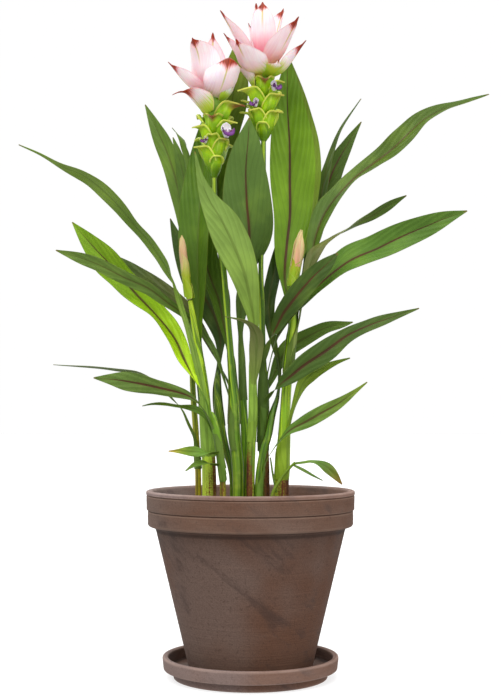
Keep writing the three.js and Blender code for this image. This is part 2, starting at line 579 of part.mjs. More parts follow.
// Cupped bract that leaves the head's axis at an azimuth. The points of its line are [radius, height].
function bract(head, azimuth, line, halfWidth, form, thick = BRACT_THICKNESS) {
  const angle = THREE.MathUtils.degToRad(azimuth);
  const across = new THREE.Vector3(Math.cos(angle), Math.sin(angle), 0);
  const place = ([radius, height]) => [
    head.x + radius * Math.sin(angle), head.y - radius * Math.cos(angle), height];
  const curve = curveThrough(line.map(place));
  const cup = halfWidth * form.cup;
  const rings = [];
  for (let i = 0; i <= form.steps; i++) {
    const share = i / form.steps;
    const tangent = curve.getTangentAt(share);
    const normal = new THREE.Vector3().crossVectors(tangent, across).normalize();
    const least = share < 0.5 ? BRACT_FOOT : BRACT_TIP;
    const half = Math.max(halfWidth * bractOutline(share, form.widest, form.sharpness), least);
    const frame = { middle: curve.getPointAt(share), across, normal };
    const shape = (s) => {
      const bend = (s * half) / cup;
      return { out: cup * Math.sin(bend), lift: cup * (1 - Math.cos(bend)), tilt: bend };
    };
    rings.push(bladeRing(frame, form.count, shape, () => thick));
  }
  return loft(rings);
}

// Round body on an upright axis, through [radius, height] points
function spindle(head, profile) {
  const rings = profile.map(([radius, height]) => {
    const ring = [];
    for (let j = 0; j < HEAD_SIDES; j++) {
      const angle = ((j + 0.5) / HEAD_SIDES) * 2 * Math.PI;
      ring.push(new THREE.Vector3(head.x + radius * Math.cos(angle), head.y + radius * Math.sin(angle), height));
    }
    return ring;
  });
  return loft(rings);
}

function solid(geometry) {
  const bare = geometry.clone();
  bare.deleteAttribute("normal");
  bare.deleteAttribute("uv");
  const merged = mergeVertices(bare, 1e-4);
  return new wasm.Manifold(new wasm.Mesh({
    numProp: 3,
    vertProperties: new Float32Array(merged.attributes.position.array),
    triVerts: new Uint32Array(merged.index.array),
  }));
}

// Back to a geometry, keeping only the largest piece
function geometryOf(body) {
  const pieces = body.decompose().sort((a, b) => b.volume() - a.volume());
  const mesh = pieces[0].getMesh();
  const geometry = new THREE.BufferGeometry();
  geometry.setAttribute("position", new THREE.Float32BufferAttribute(mesh.vertProperties, 3));
  geometry.setIndex(new THREE.Uint32BufferAttribute(mesh.triVerts, 1));
  return geometry;
}

const joined = (geometries) => geometries.map(solid).reduce((whole, next) => whole.add(next));

function saucerGeometry() {
  const inner = SAUCER_RADIUS - SAUCER_LIP;
  const profile = [
    [0, 0], [SAUCER_FOOT_RADIUS, 0], [SAUCER_FOOT_RADIUS, SAUCER_FOOT_HEIGHT],
    [SAUCER_RADIUS - 2, SAUCER_FOOT_HEIGHT + 1], [SAUCER_RADIUS - 1.1, SAUCER_FOOT_HEIGHT + 2],
    [SAUCER_RADIUS, SAUCER_HEIGHT - 1.6], [SAUCER_RADIUS - 1.6, SAUCER_HEIGHT],
    [inner + 1.2, SAUCER_HEIGHT], [inner, SAUCER_HEIGHT - 1.2], [inner - 2, SAUCER_FLOOR], [0, SAUCER_FLOOR],
  ];
  return turned(profile);
}

function potGeometry() {
  const profile = [
    [DRAIN_RADIUS, POT_BASE], [POT_BASE_RADIUS - 1, POT_BASE], [POT_BASE_RADIUS, POT_BASE + 1.2],
    [POT_WAIST_RADIUS, POT_WAIST_HEIGHT], [COLLAR_RADIUS - 1.2, POT_WAIST_HEIGHT + 3.6],
    [COLLAR_RADIUS, POT_WAIST_HEIGHT + 5.2], [COLLAR_RADIUS, COLLAR_STEP - 0.6],
    [RIM_RADIUS - 0.4, COLLAR_STEP + 0.6], [RIM_RADIUS, RIM_HEIGHT - 1.8], [RIM_RADIUS - 1.8, RIM_HEIGHT],
    [RIM_RADIUS - RIM_WALL + RIM_ROUNDING, RIM_HEIGHT], [RIM_RADIUS - RIM_WALL, RIM_HEIGHT - RIM_ROUNDING],
    [POT_FLOOR_RADIUS, POT_FLOOR], [DRAIN_RADIUS, POT_FLOOR], [DRAIN_RADIUS, POT_BASE],
  ];
  return turned(profile);
}

function turned(profile) {
  const points = profile.map(([radius, height]) => new THREE.Vector2(radius, height));
  const geometry = new THREE.LatheGeometry(points, ROUND_SIDES);
  geometry.rotateX(Math.PI / 2);
  return geometry;
}

// Soil that fills the pot, low under the rim, with a plain hole for each stem
function soilGeometry() {
  const slope = (RIM_RADIUS - RIM_WALL - POT_FLOOR_RADIUS) / (RIM_HEIGHT - RIM_ROUNDING - POT_FLOOR);
  const inside = (height) => POT_FLOOR_RADIUS + slope * (height - POT_FLOOR) - GAP;
  const foot = POT_FLOOR + GAP;
  const edge = SOIL_HEIGHT - SOIL_EDGE_FALL;
  const top = SOIL_HEIGHT + SOIL_MOUND;
  const profile = [
    [0, foot], [inside(foot), foot], [inside(edge), edge],
    [inside(edge) - SOIL_EDGE_WIDTH, SOIL_HEIGHT], [MOUND_RADIUS, top], [0, top],
  ];
  let body = solid(turned(profile));
  for (const stem of Object.values(stems)) body = body.subtract(solid(stemTube(stem, GAP)));
  body = body.subtract(solid(sprigStalk(GAP)));
  return geometryOf(body);
}

function sprigStalk(grow = 0) {
  const path = [[...sprig.foot, ROOT_HEIGHT - grow], ...sprig.stalk];
  return tube(path, sprig.stalkRadii, path.length + 1, grow);
}

function sprigGeometry() {
  const twig = tube(sprig.twig, sprig.twigRadii, sprig.twig.length);
  const blades = sprig.blades.map((blade) => leafBlade(blade, blade.path, blade.path.length, NARROW_POINTS));
  return geometryOf(joined([sprigStalk(), twig, ...blades]));
}

// Point of a stem's middle line at a height
function stemPoint(stem, height) {
  const above = stem.path.findIndex((point) => point[2] > height);
  const [low, high] = [stem.path[above - 1], stem.path[above]];
  return vector(low).lerp(vector(high), (height - low[2]) / (high[2] - low[2])).toArray();
}

// A leaf starts inside its stem, and its foot ends just short of the stem's surface
function leafGeometry(leaf) {
  const stem = stems[leaf.stem];
  const path = [stemPoint(stem, leaf.path[0][2] - (leaf.drop ?? SEAT_DROP)), ...leaf.path];
  const length = curveThrough(path).getLength();
  const steps = THREE.MathUtils.clamp(Math.round(length / LEAF_STEP), FEWEST_STEPS, MOST_STEPS);
  const count = Math.max(...leaf.halfWidths) > WIDE_LEAF ? WIDE_POINTS : NARROW_POINTS;
  return geometryOf(solid(leafBlade(leaf, path, steps, count)).subtract(solid(stemTube(stem, GAP))));
}

function crownGeometry(head, bracts) {
  const core = spindle(head, CROWN_CORE.map(([radius, height]) => [radius, head.crown + height]));
  const shapes = bracts.map(({ azimuth, line, halfWidth }) => {
    const raised = line.map(([radius, height]) => [radius, head.crown + GAP + height]);
    return bract(head, azimuth, raised, halfWidth, PINK_FORM);
  });
  return geometryOf(joined([core, ...shapes]));
}

// The line of a green bract rises beside the core and bends out to its tip
function greenLine(rim, radius, tipRadius, tip) {
  return [[4, rim - 15], [radius * 0.72, rim - 10], [radius * 0.96, rim - 3], [tipRadius, tip]];
}

function spikeGeometry(head, bracts, side) {
  const tall = head.crown - head.foot;
  const core = spindle(head, SPIKE_CORE.map(([radius, share]) => [radius, head.foot + share * tall]));
  const shapes = bracts.map(([azimuth, rim, radius, tipRadius, tip, halfWidth]) =>
    bract(head, azimuth, greenLine(rim, radius, tipRadius, tip), halfWidth, GREEN_FORM));
  let body = joined([core, ...shapes]);
  for (const [name, floret] of Object.entries(florets)) {
    if (name.includes(side)) body = body.subtract(floretSolid(floret, GAP));
  }
  return geometryOf(body);
}

// Floret: a short flared cup with a lip. It can be grown, to cut its seat in the spike.
function floretSolid({ place, azimuth, size }, grow = 0) {
  const [x, y, z] = place;
  const grown = ([radius, height]) => [radius * size + grow, z + height * size + Math.sign(height) * grow];
  const halfWidth = LIP_HALF_WIDTH * size + grow;
  const lip = bract({ x, y }, azimuth, FLORET_LIP.map(grown), halfWidth, LIP_FORM, BRACT_THICKNESS + 2 * grow);
  return joined([spindle({ x, y }, FLORET_CUP.map(grown)), lip]);
}

const clay = new THREE.MeshStandardMaterial({ color: 0x79635d, roughness: 0.85, metalness: 0 });
const earth = new THREE.MeshStandardMaterial({ color: 0x3d2a20, roughness: 1, metalness: 0 });
const stemGreen = new THREE.MeshStandardMaterial({ color: 0x6f9a2a, roughness: 0.5, metalness: 0 });
const leafGreen = new THREE.MeshStandardMaterial({ color: 0x4f7d2c, roughness: 0.5, metalness: 0 });
const bractGreen = new THREE.MeshStandardMaterial({ color: 0x9cc414, roughness: 0.5, metalness: 0 });
const bractPink = new THREE.MeshStandardMaterial({ color: 0xf3d3da, roughness: 0.6, metalness: 0 });
const violet = new THREE.MeshStandardMaterial({ color: 0xa97fc0, roughness: 0.5, metalness: 0 });

const plant = new THREE.Group();

function add(name, geometry, material) {
  const mesh = new THREE.Mesh(geometry, material);
  mesh.name = name;
  plant.add(mesh);
}

add("saucer", saucerGeometry(), clay);
add("pot", potGeometry(), clay);
add("soil", soilGeometry(), earth);
for (const [name, stem] of Object.entries(stems)) add(name, stemTube(stem), stemGreen);
for (const [name, leaf] of Object.entries(leaves)) add(name, leafGeometry(leaf), leafGreen);
add("sprig_low_right", sprigGeometry(), leafGreen);
for (const [name, bud] of Object.entries(buds)) add(name, tube(bud.path, bud.radii, BUD_STEPS), bractGreen);
add("spike_left", spikeGeometry(LEFT_HEAD, spikes.spike_left, "left"), bractGreen);
add("spike_right", spikeGeometry(RIGHT_HEAD, spikes.spike_right, "right"), bractGreen);
add("crown_left", crownGeometry(LEFT_HEAD, crowns.crown_left), bractPink);
add("crown_right", crownGeometry(RIGHT_HEAD, crowns.crown_right), bractPink);
for (const [name, floret] of Object.entries(florets)) add(name, geometryOf(floretSolid(floret)), violet);

export default plant;
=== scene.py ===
import math

import bpy
import numpy as np
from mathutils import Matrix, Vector, noise


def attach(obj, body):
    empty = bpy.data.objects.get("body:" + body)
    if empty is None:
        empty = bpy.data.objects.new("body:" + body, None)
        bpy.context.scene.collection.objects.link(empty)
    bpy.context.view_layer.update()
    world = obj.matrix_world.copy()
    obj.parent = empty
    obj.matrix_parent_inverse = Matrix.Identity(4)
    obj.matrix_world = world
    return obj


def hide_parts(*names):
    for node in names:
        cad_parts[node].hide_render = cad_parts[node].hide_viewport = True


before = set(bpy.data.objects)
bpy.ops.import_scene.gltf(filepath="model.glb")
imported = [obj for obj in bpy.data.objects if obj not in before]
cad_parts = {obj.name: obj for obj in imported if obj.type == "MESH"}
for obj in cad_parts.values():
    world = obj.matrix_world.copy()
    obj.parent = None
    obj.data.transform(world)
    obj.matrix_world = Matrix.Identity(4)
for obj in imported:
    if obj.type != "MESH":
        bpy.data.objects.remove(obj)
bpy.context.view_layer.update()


# Saucer: a turned dish of fired brown clay, with a low foot, an undercut below its wall and a rounded lip.
# The pot stands loose on its floor.
def colour(red, green, blue):
    """Linear colour of a screen colour from 0 to 255"""
    screen = np.array([red, green, blue]) / 255
    linear = np.where(screen > 0.04045, ((screen + 0.055) / 1.055) ** 2.4, screen / 12.92)
    return (*linear.tolist(), 1.0)


def feed(tree, socket, value):
    """Links a socket to an input, or sets the input to a number, colour or vector"""
    if isinstance(value, bpy.types.NodeSocket):
        tree.links.new(value, socket)
    else:
        socket.default_value = value


def calc(tree, operation, *values):
    node = tree.nodes.new("ShaderNodeMath")
    node.operation = operation
    for socket, value in zip(node.inputs, values):
        feed(tree, socket, value)
    return node.outputs[0]


def fade(tree, value, low, high, at_low=0.0, at_high=1.0):
    """Goes smoothly from at_low to at_high while the value goes from low to high"""
    node = tree.nodes.new("ShaderNodeMapRange")
    node.interpolation_type = "SMOOTHSTEP"
    for socket, given in zip(node.inputs, (value, low, high, at_low, at_high)):
        feed(tree, socket, given)
    return node.outputs[0]


def mixed(tree, share, first, second, blend="MIX"):
    node = tree.nodes.new("ShaderNodeMix")
    node.data_type = "RGBA"
    node.blend_type = blend
    for socket, given in zip((node.inputs[0], node.inputs[6], node.inputs[7]), (share, first, second)):
        feed(tree, socket, given)
    return node.outputs[2]


def mottle(tree, place, scale, detail=2.0, roughness=0.5):
    """Noise from 0 to 1"""
    node = tree.nodes.new("ShaderNodeTexNoise")
    for name, given in (("Vector", place), ("Scale", scale), ("Detail", detail), ("Roughness", roughness)):
        feed(tree, node.inputs[name], given)
    return node.outputs["Fac"]


def stretched(tree, place, scale, turn=(0, 0, 0)):
    node = tree.nodes.new("ShaderNodeMapping")
    feed(tree, node.inputs["Vector"], place)
    node.inputs["Scale"].default_value = scale
    node.inputs["Rotation"].default_value = [math.radians(angle) for angle in turn]
    return node.outputs[0]


def stored(tree, name, output="Fac"):
    """A value or colour that the mesh carries at its points"""
    node = tree.nodes.new("ShaderNodeAttribute")
    node.attribute_name = name
    return node.outputs[output]


def combined(tree, x, y, z=0.0):
    node = tree.nodes.new("ShaderNodeCombineXYZ")
    for socket, value in zip(node.inputs, (x, y, z)):
        feed(tree, socket, value)
    return node.outputs[0]


def relief(tree, height, depth):
    """Surface normal of a relief whose height goes from 0 to 1 over depth metres"""
    node = tree.nodes.new("ShaderNodeBump")
    node.inputs["Distance"].default_value = depth
    feed(tree, node.inputs["Height"], height)
    return node.outputs[0]


def object_place(tree):
    return tree.nodes.new("ShaderNodeTexCoord").outputs["Object"]


def streaked(tree, place, scale, detail=2.0, roughness=0.5):
    """Noise from 0 to 1 that is drawn out by an unequal scale"""
    return mottle(tree, stretched(tree, place, scale), 1, detail, roughness)


def product(tree, first, second):
    return calc(tree, "MULTIPLY", first, second)


def roughened(tree, value, noise_value, amount):
    """A value moved up and down by noise from 0 to 1"""
    return calc(tree, "MULTIPLY_ADD", calc(tree, "SUBTRACT", noise_value, 0.5), amount, value)


def tint(tree, tone, shade, value, low, high, at_low=0.0, at_high=1.0):
    """Takes a tone towards a shade by how far a value lies between low and high"""
    return mixed(tree, fade(tree, value, low, high, at_low, at_high), tone, colour(*shade))


def surface_group(name):
    """Node group for the varying inputs of one kind of surface"""
    tree = bpy.data.node_groups.new(name, "ShaderNodeTree")
    for output, kind in (("Base Color", "Color"), ("Roughness", "Float"), ("Normal", "Vector")):
        tree.interface.new_socket(output, in_out="OUTPUT", socket_type=f"NodeSocket{kind}")
    return tree


def finish(group, base_color, roughness, normal, **fixed):
    """Material that takes its colour, roughness and normal from a group. The other inputs are fixed."""
    end = group.nodes.new("NodeGroupOutput")
    for socket, value in zip(end.inputs, (base_color, roughness, normal)):
        feed(group, socket, value)
    material = bpy.data.materials.new(group.name)
    material.use_nodes = True
    tree = material.node_tree
    shader = tree.nodes["Principled BSDF"]
    surface = tree.nodes.new("ShaderNodeGroup")
    surface.node_tree = group
    for output in surface.outputs:
        tree.links.new(output, shader.inputs[output.name])
    for socket, value in fixed.items():
        shader.inputs[socket.replace("_", " ")].default_value = value
    return material


metre = 1000


def mesh_piece(name, node, points, faces, material, values=None, colours=None):
    """Smooth piece that stands for one CAD node. Its points are in millimetres."""
    mesh = bpy.data.meshes.new(name)
    mesh.from_pydata((points / metre).tolist(), [], faces)
    for kind, member, given in (("FLOAT", "value", values), ("FLOAT_COLOR", "color", colours)):
        for key, numbers in (given or {}).items():
            attribute = mesh.attributes.new(key, kind, "POINT")
            attribute.data.foreach_set(member, np.asarray(numbers, float).ravel())
    mesh.materials.append(material)
    mesh.shade_smooth()
    mesh.set_sharp_from_angle(angle=math.radians(48))
    piece = bpy.data.objects.new(name, mesh)
    bpy.context.collection.objects.link(piece)
    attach(piece, "root")
    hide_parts(node)


def rounded(corners, steps=6):
    """Profile through corners of radius, height and rounding. Also says how much each point lies on an edge:
    1 at the middle of an outward corner, -1 at the middle of an inward one."""
    profile, edges = [], []
    for i, (radius, height, rounding) in enumerate(corners):
        here = np.array([radius, height], float)
        before = np.array(corners[i - 1][:2], float) - here
        after = np.array(corners[(i + 1) % len(corners)][:2], float) - here
        if rounding == 0:
            profile.append(here)
            edges.append(0.0)
            continue
        reach_before = min(rounding, 0.48 * np.linalg.norm(before)) * before / np.linalg.norm(before)
        reach_after = min(rounding, 0.48 * np.linalg.norm(after)) * after / np.linalg.norm(after)
        outward = np.sign(before[1] * after[0] - before[0] * after[1])
        for t in np.linspace(0, 1, steps):
            profile.append(here + (1 - t) ** 2 * reach_before + t ** 2 * reach_after)
            edges.append(outward * math.sin(math.pi * (0.15 + 0.7 * t)))
    return np.array(profile), np.array(edges)


def divided(profile, edges, step):
    """Adds points so that no two are further apart than step"""
    points, marks = [profile[0]], [edges[0]]
    for k in range(1, len(profile)):
        parts = max(1, math.ceil(np.linalg.norm(profile[k] - profile[k - 1]) / step))
        for part in range(1, parts + 1):
            points.append(profile[k - 1] + (profile[k] - profile[k - 1]) * part / parts)
            marks.append(edges[k - 1] + (edges[k] - edges[k - 1]) * part / parts)
    return np.array(points), np.array(marks)


def ring_faces(rings, sides, closed=False):
    """Faces between rings of points. A row of rings that isn't closed ends in two flat discs."""
    lower = np.arange(rings * sides).reshape(rings, sides)
    upper = np.roll(lower, -1, axis=0)
    discs = [] if closed else [lower[0, ::-1].tolist(), lower[-1].tolist()]
    quads = np.stack([lower, np.roll(lower, -1, axis=1), np.roll(upper, -1, axis=1), upper], axis=-1)
    return quads[:rings if closed else -1].reshape(-1, 4).tolist() + discs


def turned(profile, sides, closed=False):
    """Body turned about the upright axis through a profile of radius and height"""
    angles = np.arange(sides) * 2 * math.pi / sides
    rings = np.stack([
        np.outer(profile[:, 0], np.cos(angles)),
        np.outer(profile[:, 0], np.sin(angles)),
        np.repeat(profile[:, 1:], sides, axis=1),
    ], axis=-1)
    return rings.reshape(-1, 3), ring_faces(len(profile), sides, closed)


clay = surface_group("fired_clay")
place = object_place(clay)
# Painted shade: the stored side value grows towards the right and takes the clay to a darker, redder brown
# there, where less light falls. Noise adds a random drift of tone.
drift_and_side_shade = calc(clay, "ADD", mottle(clay, place, 13, 2), stored(clay, "side"))
tone = tint(clay, colour(129, 111, 107), (117, 85, 70), drift_and_side_shade, 0.34, 0.66)
slant = stretched(clay, place, (1, 1, 1), (0, -42, 0))
smear = streaked(clay, slant, (12, 40, 70), 5, 0.62)
tone = tint(clay, tone, (72, 57, 55), smear, 0.52, 0.7, 0, 0.6)
scuff = streaked(clay, place, (30, 30, 150), 4, 0.7)
tone = tint(clay, tone, (150, 128, 120), scuff, 0.6, 0.78, 0, 0.28)
grain = mottle(clay, place, 900, 3, 0.7)
tone = tint(clay, tone, (62, 46, 42), grain, 0.3, 0.7, 0.34, 0)
pits = mottle(clay, place, 330, 3, 0.6)
tone = tint(clay, tone, (66, 48, 44), pits, 0.58, 0.68, 0, 0.35)
edge = stored(clay, "edge")
worn = product(clay, fade(clay, edge, 0.1, 1), fade(clay, scuff, 0.25, 0.65, 0.35, 1))
tone = mixed(clay, product(clay, worn, 0.5), tone, colour(172, 150, 141))
# Painted shade: inward corners, such as the groove under the pot's collar, are darkened.
tone = tint(clay, tone, (48, 35, 32), edge, -0.2, -1, 0, 0.6)
# Darker where the value is 1: the pot's body is a darker clay than the saucer, and the darkened hollow of the
# saucer and the lighter rim and inside of the pot are painted shade and painted light.
tone = mixed(clay, stored(clay, "dark_clay_and_shade"), tone, colour(205, 194, 180), "MULTIPLY")
rings = streaked(clay, place, (5, 5, 640), 3, 0.6)
height = calc(clay, "MULTIPLY_ADD", rings, 0.7, product(clay, grain, 0.35))
clay_finish = finish(
    clay, tone, fade(clay, smear, 0.3, 0.7, 0.92, 0.74), relief(clay, height, 0.0004),
    Specular_IOR_Level=0.25)

lathe_sides = 160
corners = [
    (8, 0, 0), (66.6, 0, 1), (66.6, 6.6, 0.7), (75, 7.6, 1.2),
    (76.2, 19.1, 2.3), (71.3, 19.1, 2.1), (69.4, 8.2, 2.6), (8, 8.2, 0),
]
profile, edges = divided(*rounded(corners), 3)
points, faces = turned(profile, lathe_sides)
# The saucer's hollow gets the full painted shade.
inner = (points[:, 2] > 8) & (np.hypot(points[:, 0], points[:, 1]) < 71.4)
traits = {"edge": np.repeat(edges, lathe_sides), "side": points[:, 0] / 500, "dark_clay_and_shade": np.where(inner, 1, 0.35)}
mesh_piece("clay_saucer", "saucer", points, faces, clay_finish, traits)


# Pot: thrown on a wheel from the same clay, with a wide collar in two bands, a drain hole and a rounded rim.
# Faint rings run round it where it was turned.
corners = [
    (9, 8.5, 0.6), (53.3, 8.5, 1.6), (81.8, 128.4, 3), (84, 130.6, 1.6), (88.5, 131, 2.6),
    (88.6, 143.5, 1.1), (87.9, 144.4, 0.5), (89.5, 144.9, 0.9), (89.8, 156.8, 0.7), (89.2, 157.5, 0.4),
    (90, 158.1, 0.7), (90, 161.5, 2.6), (84.5, 161.5, 2.4), (46.5, 14.5, 3), (9, 14.5, 0.6),
]
profile, edges = rounded(corners)
profile, edges = divided(np.vstack([profile, profile[:1]]), np.append(edges, edges[0]), 1.6)
profile, edges = profile[:-1], edges[:-1]
points, faces = turned(profile, lathe_sides, closed=True)
height = points[:, 2]
around = np.arctan2(points[:, 1], points[:, 0])
rings = 0.05 * np.sin(height * 1.9) + 0.04 * np.sin(height * 0.83 + 1.2 * np.sin(around))
wall = np.clip((height - 12) / 20, 0, 1) * np.clip((156 - height) / 8, 0, 1)
points[:, :2] *= (1 + (rings * wall + 0.12 * np.cos(2 * around + 0.7)) / 85)[:, None]
# The pot's rim and inside are kept lighter than its body as painted light.
lip = (height > 158.5) | (np.repeat(profile[:, 0], lathe_sides) < np.interp(height, [14, 161], [48, 87]))
traits = {"edge": np.repeat(edges, lathe_sides), "side": points[:, 0] / 500, "dark_clay_and_shade": ~lip}
mesh_piece("clay_pot", "pot", points, faces, clay_finish, traits)


# Soil: dark potting mix pressed in round the stems, a little below the rim. Crumbs and chips of composted
# bark lie on it.
def lump(rng, size, flat):
    """Crumb with an irregular surface: four rings of six points, and a point at each end"""
    turns = np.linspace(0, 2 * math.pi, 7)[:-1]
    rings = [(0.55, -0.8), (1.0, -0.25), (0.95, 0.35), (0.5, 0.85)]
    points = [(r * math.cos(a), r * math.sin(a), z) for r, z in rings for a in turns]
    points = [(0, 0, -1), *points, (0, 0, 1)] * rng.uniform(0.72, 1.2, (26, 1)) * size * [1, 1, flat]
    yaw, tilt = rng.uniform(0, 2 * math.pi), rng.uniform(-0.5, 0.5)
    cos, sin = math.cos(tilt), math.sin(tilt)
    points = points @ np.array([[1, 0, 0], [0, cos, -sin], [0, sin, cos]])
    cos, sin = math.cos(yaw), math.sin(yaw)
    points = points @ np.array([[cos, -sin, 0], [sin, cos, 0], [0, 0, 1]])
    steps = [(k, (k + 1) % 6) for k in range(6)]
    faces = [[0, 1 + b, 1 + a] for a, b in steps] + [[25, 19 + a, 19 + b] for a, b in steps]
    for low in (1, 7, 13):
        faces += [[low + a, low + b, low + 6 + b, low + 6 + a] for a, b in steps]
    return points, faces


def gathered(parts):
    """One body out of several of points and faces"""
    points, faces, start = [], [], 0
    for part_points, part_faces in parts:
        points.append(part_points)
        faces += [[start + k for k in face] for face in part_faces]
        start += len(part_points)
    return np.vstack(points), faces


def joined(parts):
    """One body out of several, each of points, faces and values"""
    points, faces = gathered([part[:2] for part in parts])
    return points, faces, {key: np.concatenate([part[2][key] for part in parts]) for key in parts[0][2]}


def soil_height(x, y):
    """Height of the soil, which is heaped a little round the stems"""
    away = math.hypot(x, y)
    heap = 143.4 + 2.4 * math.exp(-(away / 52) ** 2) - 0.03 * max(0, away - 66)
    rough = noise.noise(Vector((x / 9, y / 9, 0))) * 1.3 + noise.noise(Vector((x / 3, y / 3, 7))) * 0.9
    return heap + rough


earth = surface_group("potting_soil")
place = object_place(earth)
clods = mottle(earth, place, 260, 4, 0.65)
tone = tint(earth, colour(38, 27, 20), (86, 62, 45), clods, 0.3, 0.7)
tone = tint(earth, tone, (138, 108, 80), mottle(earth, place, 700, 2), 0.66, 0.75, 0, 0.7)
crumbs = relief(earth, mottle(earth, place, 900, 4, 0.7), 0.001)
earth_finish = finish(earth, tone, fade(earth, clods, 0.3, 0.7, 0.98, 0.86), crumbs, Specular_IOR_Level=0.15)

rings, sides = 60, 180
inner = 46.2 + 38 / 146 * (143 - 14.5)
top = [(inner * share, 0) for share in np.linspace(0.02, 1, rings)]
below = [(46.2 + 0.26 * (z - 14.5), z) for z in (135, 110, 80, 50, 14.9)]
bed, faces = turned(np.array(top + below), sides)
bed[:rings * sides, 2] = [soil_height(x, y) for x, y, _ in bed[:rings * sides]]
rng = np.random.default_rng(11)
quads, discs = faces[:-2], faces[-2:]
parts = [(bed, [[face[0], *face[:0:-1]] for face in quads] + [disc[::-1] for disc in discs])]
for _ in range(420):
    away, angle = 78 * math.sqrt(rng.uniform(0, 1)), rng.uniform(0, 2 * math.pi)
    x, y = away * math.cos(angle), away * math.sin(angle)
    crumb, crumb_faces = lump(rng, rng.uniform(0.8, 2.3), rng.uniform(0.6, 1))
    parts.append((crumb + [x, y, soil_height(x, y) + 0.4], crumb_faces))
points, faces = gathered(parts)
mesh_piece("soil_bed", "soil", points, faces, earth_finish)

bark = surface_group("bark_chips")
fibre = streaked(bark, object_place(bark), (900, 160, 900), 3)
tone = tint(bark, colour(92, 52, 30), (158, 100, 60), fibre, 0.3, 0.7)
bark_finish = finish(
    bark, tone, fade(bark, fibre, 0.3, 0.7, 0.9, 0.7), relief(bark, fibre, 0.0006),
    Specular_IOR_Level=0.2)
chosen = [(-20, -22), (-16, -17), (34, -11), (39, -6), (30, -14), (5, -17), (44, -14), (-30, -12)]
away, angle = rng.uniform(22, 76, 40), rng.uniform(0, 6.28, 40)
scattered = zip(away * np.cos(angle), away * np.sin(angle))
parts = []
for x, y in [*chosen, *scattered]:
    chip, chip_faces = lump(rng, rng.uniform(2.2, 4.6), 0.34)
    parts.append((chip * [1.3, 0.8, 1] + [x, y, soil_height(x, y) + 0.9], chip_faces))
points, faces = gathered(parts)
mesh_piece("bark_chips", "soil", points, faces, bark_finish)


# Leafy stems: each is a false stem of leaf sheaths rolled round each other, fleshy and finely ribbed. Old
# sheaths dry to brown at the soil. Two of the stems run on as the stalks of the flower heads.
def smooth(values, shares):
    """Reads a list that is spread evenly over a length, on a smooth line through its values"""
    values = np.array(values, float)
    slopes = np.gradient(values, axis=0)
    place = np.clip(shares, 0, 1) * (len(values) - 1)
    low = np.minimum(place.astype(int), len(values) - 2)
    t = place - low
    if values.ndim > 1:
        t = t[:, None]
    step = values[low + 1] - values[low]
    bend = 3 * step - 2 * slopes[low] - slopes[low + 1]
    return values[low] + t * (slopes[low] + t * (bend + t * (slopes[low] + slopes[low + 1] - 2 * step)))


def unit(vectors):
    return vectors / np.linalg.norm(vectors, axis=-1, keepdims=True)


def curve_through(points, count):
    """Points spread evenly by length on a smooth curve, with the directions there and the curve's length"""
    points = np.array(points, float)
    ends = np.vstack([2 * points[0] - points[1], points, 2 * points[-1] - points[-2]])
    t = np.linspace(0, 1, 24, endpoint=False)[:, None]
    fine = []
    for a, b, c, d in zip(ends, ends[1:], ends[2:], ends[3:]):
        first, middle, last = (np.linalg.norm(q - p) ** 0.5 for p, q in ((a, b), (b, c), (c, d)))
        leaving = middle * ((b - a) / first - (c - a) / (first + middle) + (c - b) / middle)
        arriving = middle * ((c - b) / middle - (d - b) / (middle + last) + (d - c) / last)
        fine.append(b + t * (leaving + t * (3 * (c - b) - 2 * leaving - arriving + t * (
            2 * (b - c) + leaving + arriving))))
    fine = np.vstack([*fine, points[-1:]])
    reached = np.append(0, np.cumsum(np.linalg.norm(np.diff(fine, axis=0), axis=1)))
    wanted = np.linspace(0, reached[-1], count)
    middle = np.stack([np.interp(wanted, reached, fine[:, k]) for k in range(3)], axis=1)
    return middle, unit(np.gradient(middle, axis=0)), reached[-1]


def facing(tangent, turn):
    """Directions across a blade and out of its upper face, which looks to the front at a turn of 0"""
    side = unit(np.cross([0, 1, 0], tangent))
    front = np.cross(side, tangent)
    cos, sin = np.cos(turn)[:, None], np.sin(turn)[:, None]
    return side * cos + front * sin, front * cos - side * sin


def tones_along(tones, shares):
    """Colours of a list spread evenly over a length"""
    linear = np.array([colour(*tone) for tone in tones] * (2 if len(tones) == 1 else 1))
    return np.clip(smooth(linear, shares), 0, 1)


def tube(middle, tangent, radius, sides=22, step=0.0):
    """Round body along a curve. step is how far the edge of the outer sheath stands out as it winds round."""
    across, front = facing(tangent, np.zeros(len(middle)))
    turns = np.append(np.arange(sides) / sides, 0.992)
    angle = 2 * math.pi * turns[None, :] + np.linspace(0, 2.2, len(middle))[:, None]
    size = radius[:, None] + step * (turns[None, :] - 0.5)
    points = middle[:, None] + across[:, None] * (size * np.cos(angle))[..., None]
    points = points + front[:, None] * (size * np.sin(angle))[..., None]
    return points.reshape(-1, 3), ring_faces(*angle.shape), angle


def stem_line(stem):
    """Middle line and radius of a stem, from its root in the soil to its end"""
    x, y, _ = stem["path"][0]
    root_height = 118
    middle, tangent, length = curve_through([(x, y, root_height), *stem["path"]], len(stem_shares))
    radius = smooth([stem["radii"][0], *stem["radii"]], stem_shares)
    return middle, tangent, radius, length


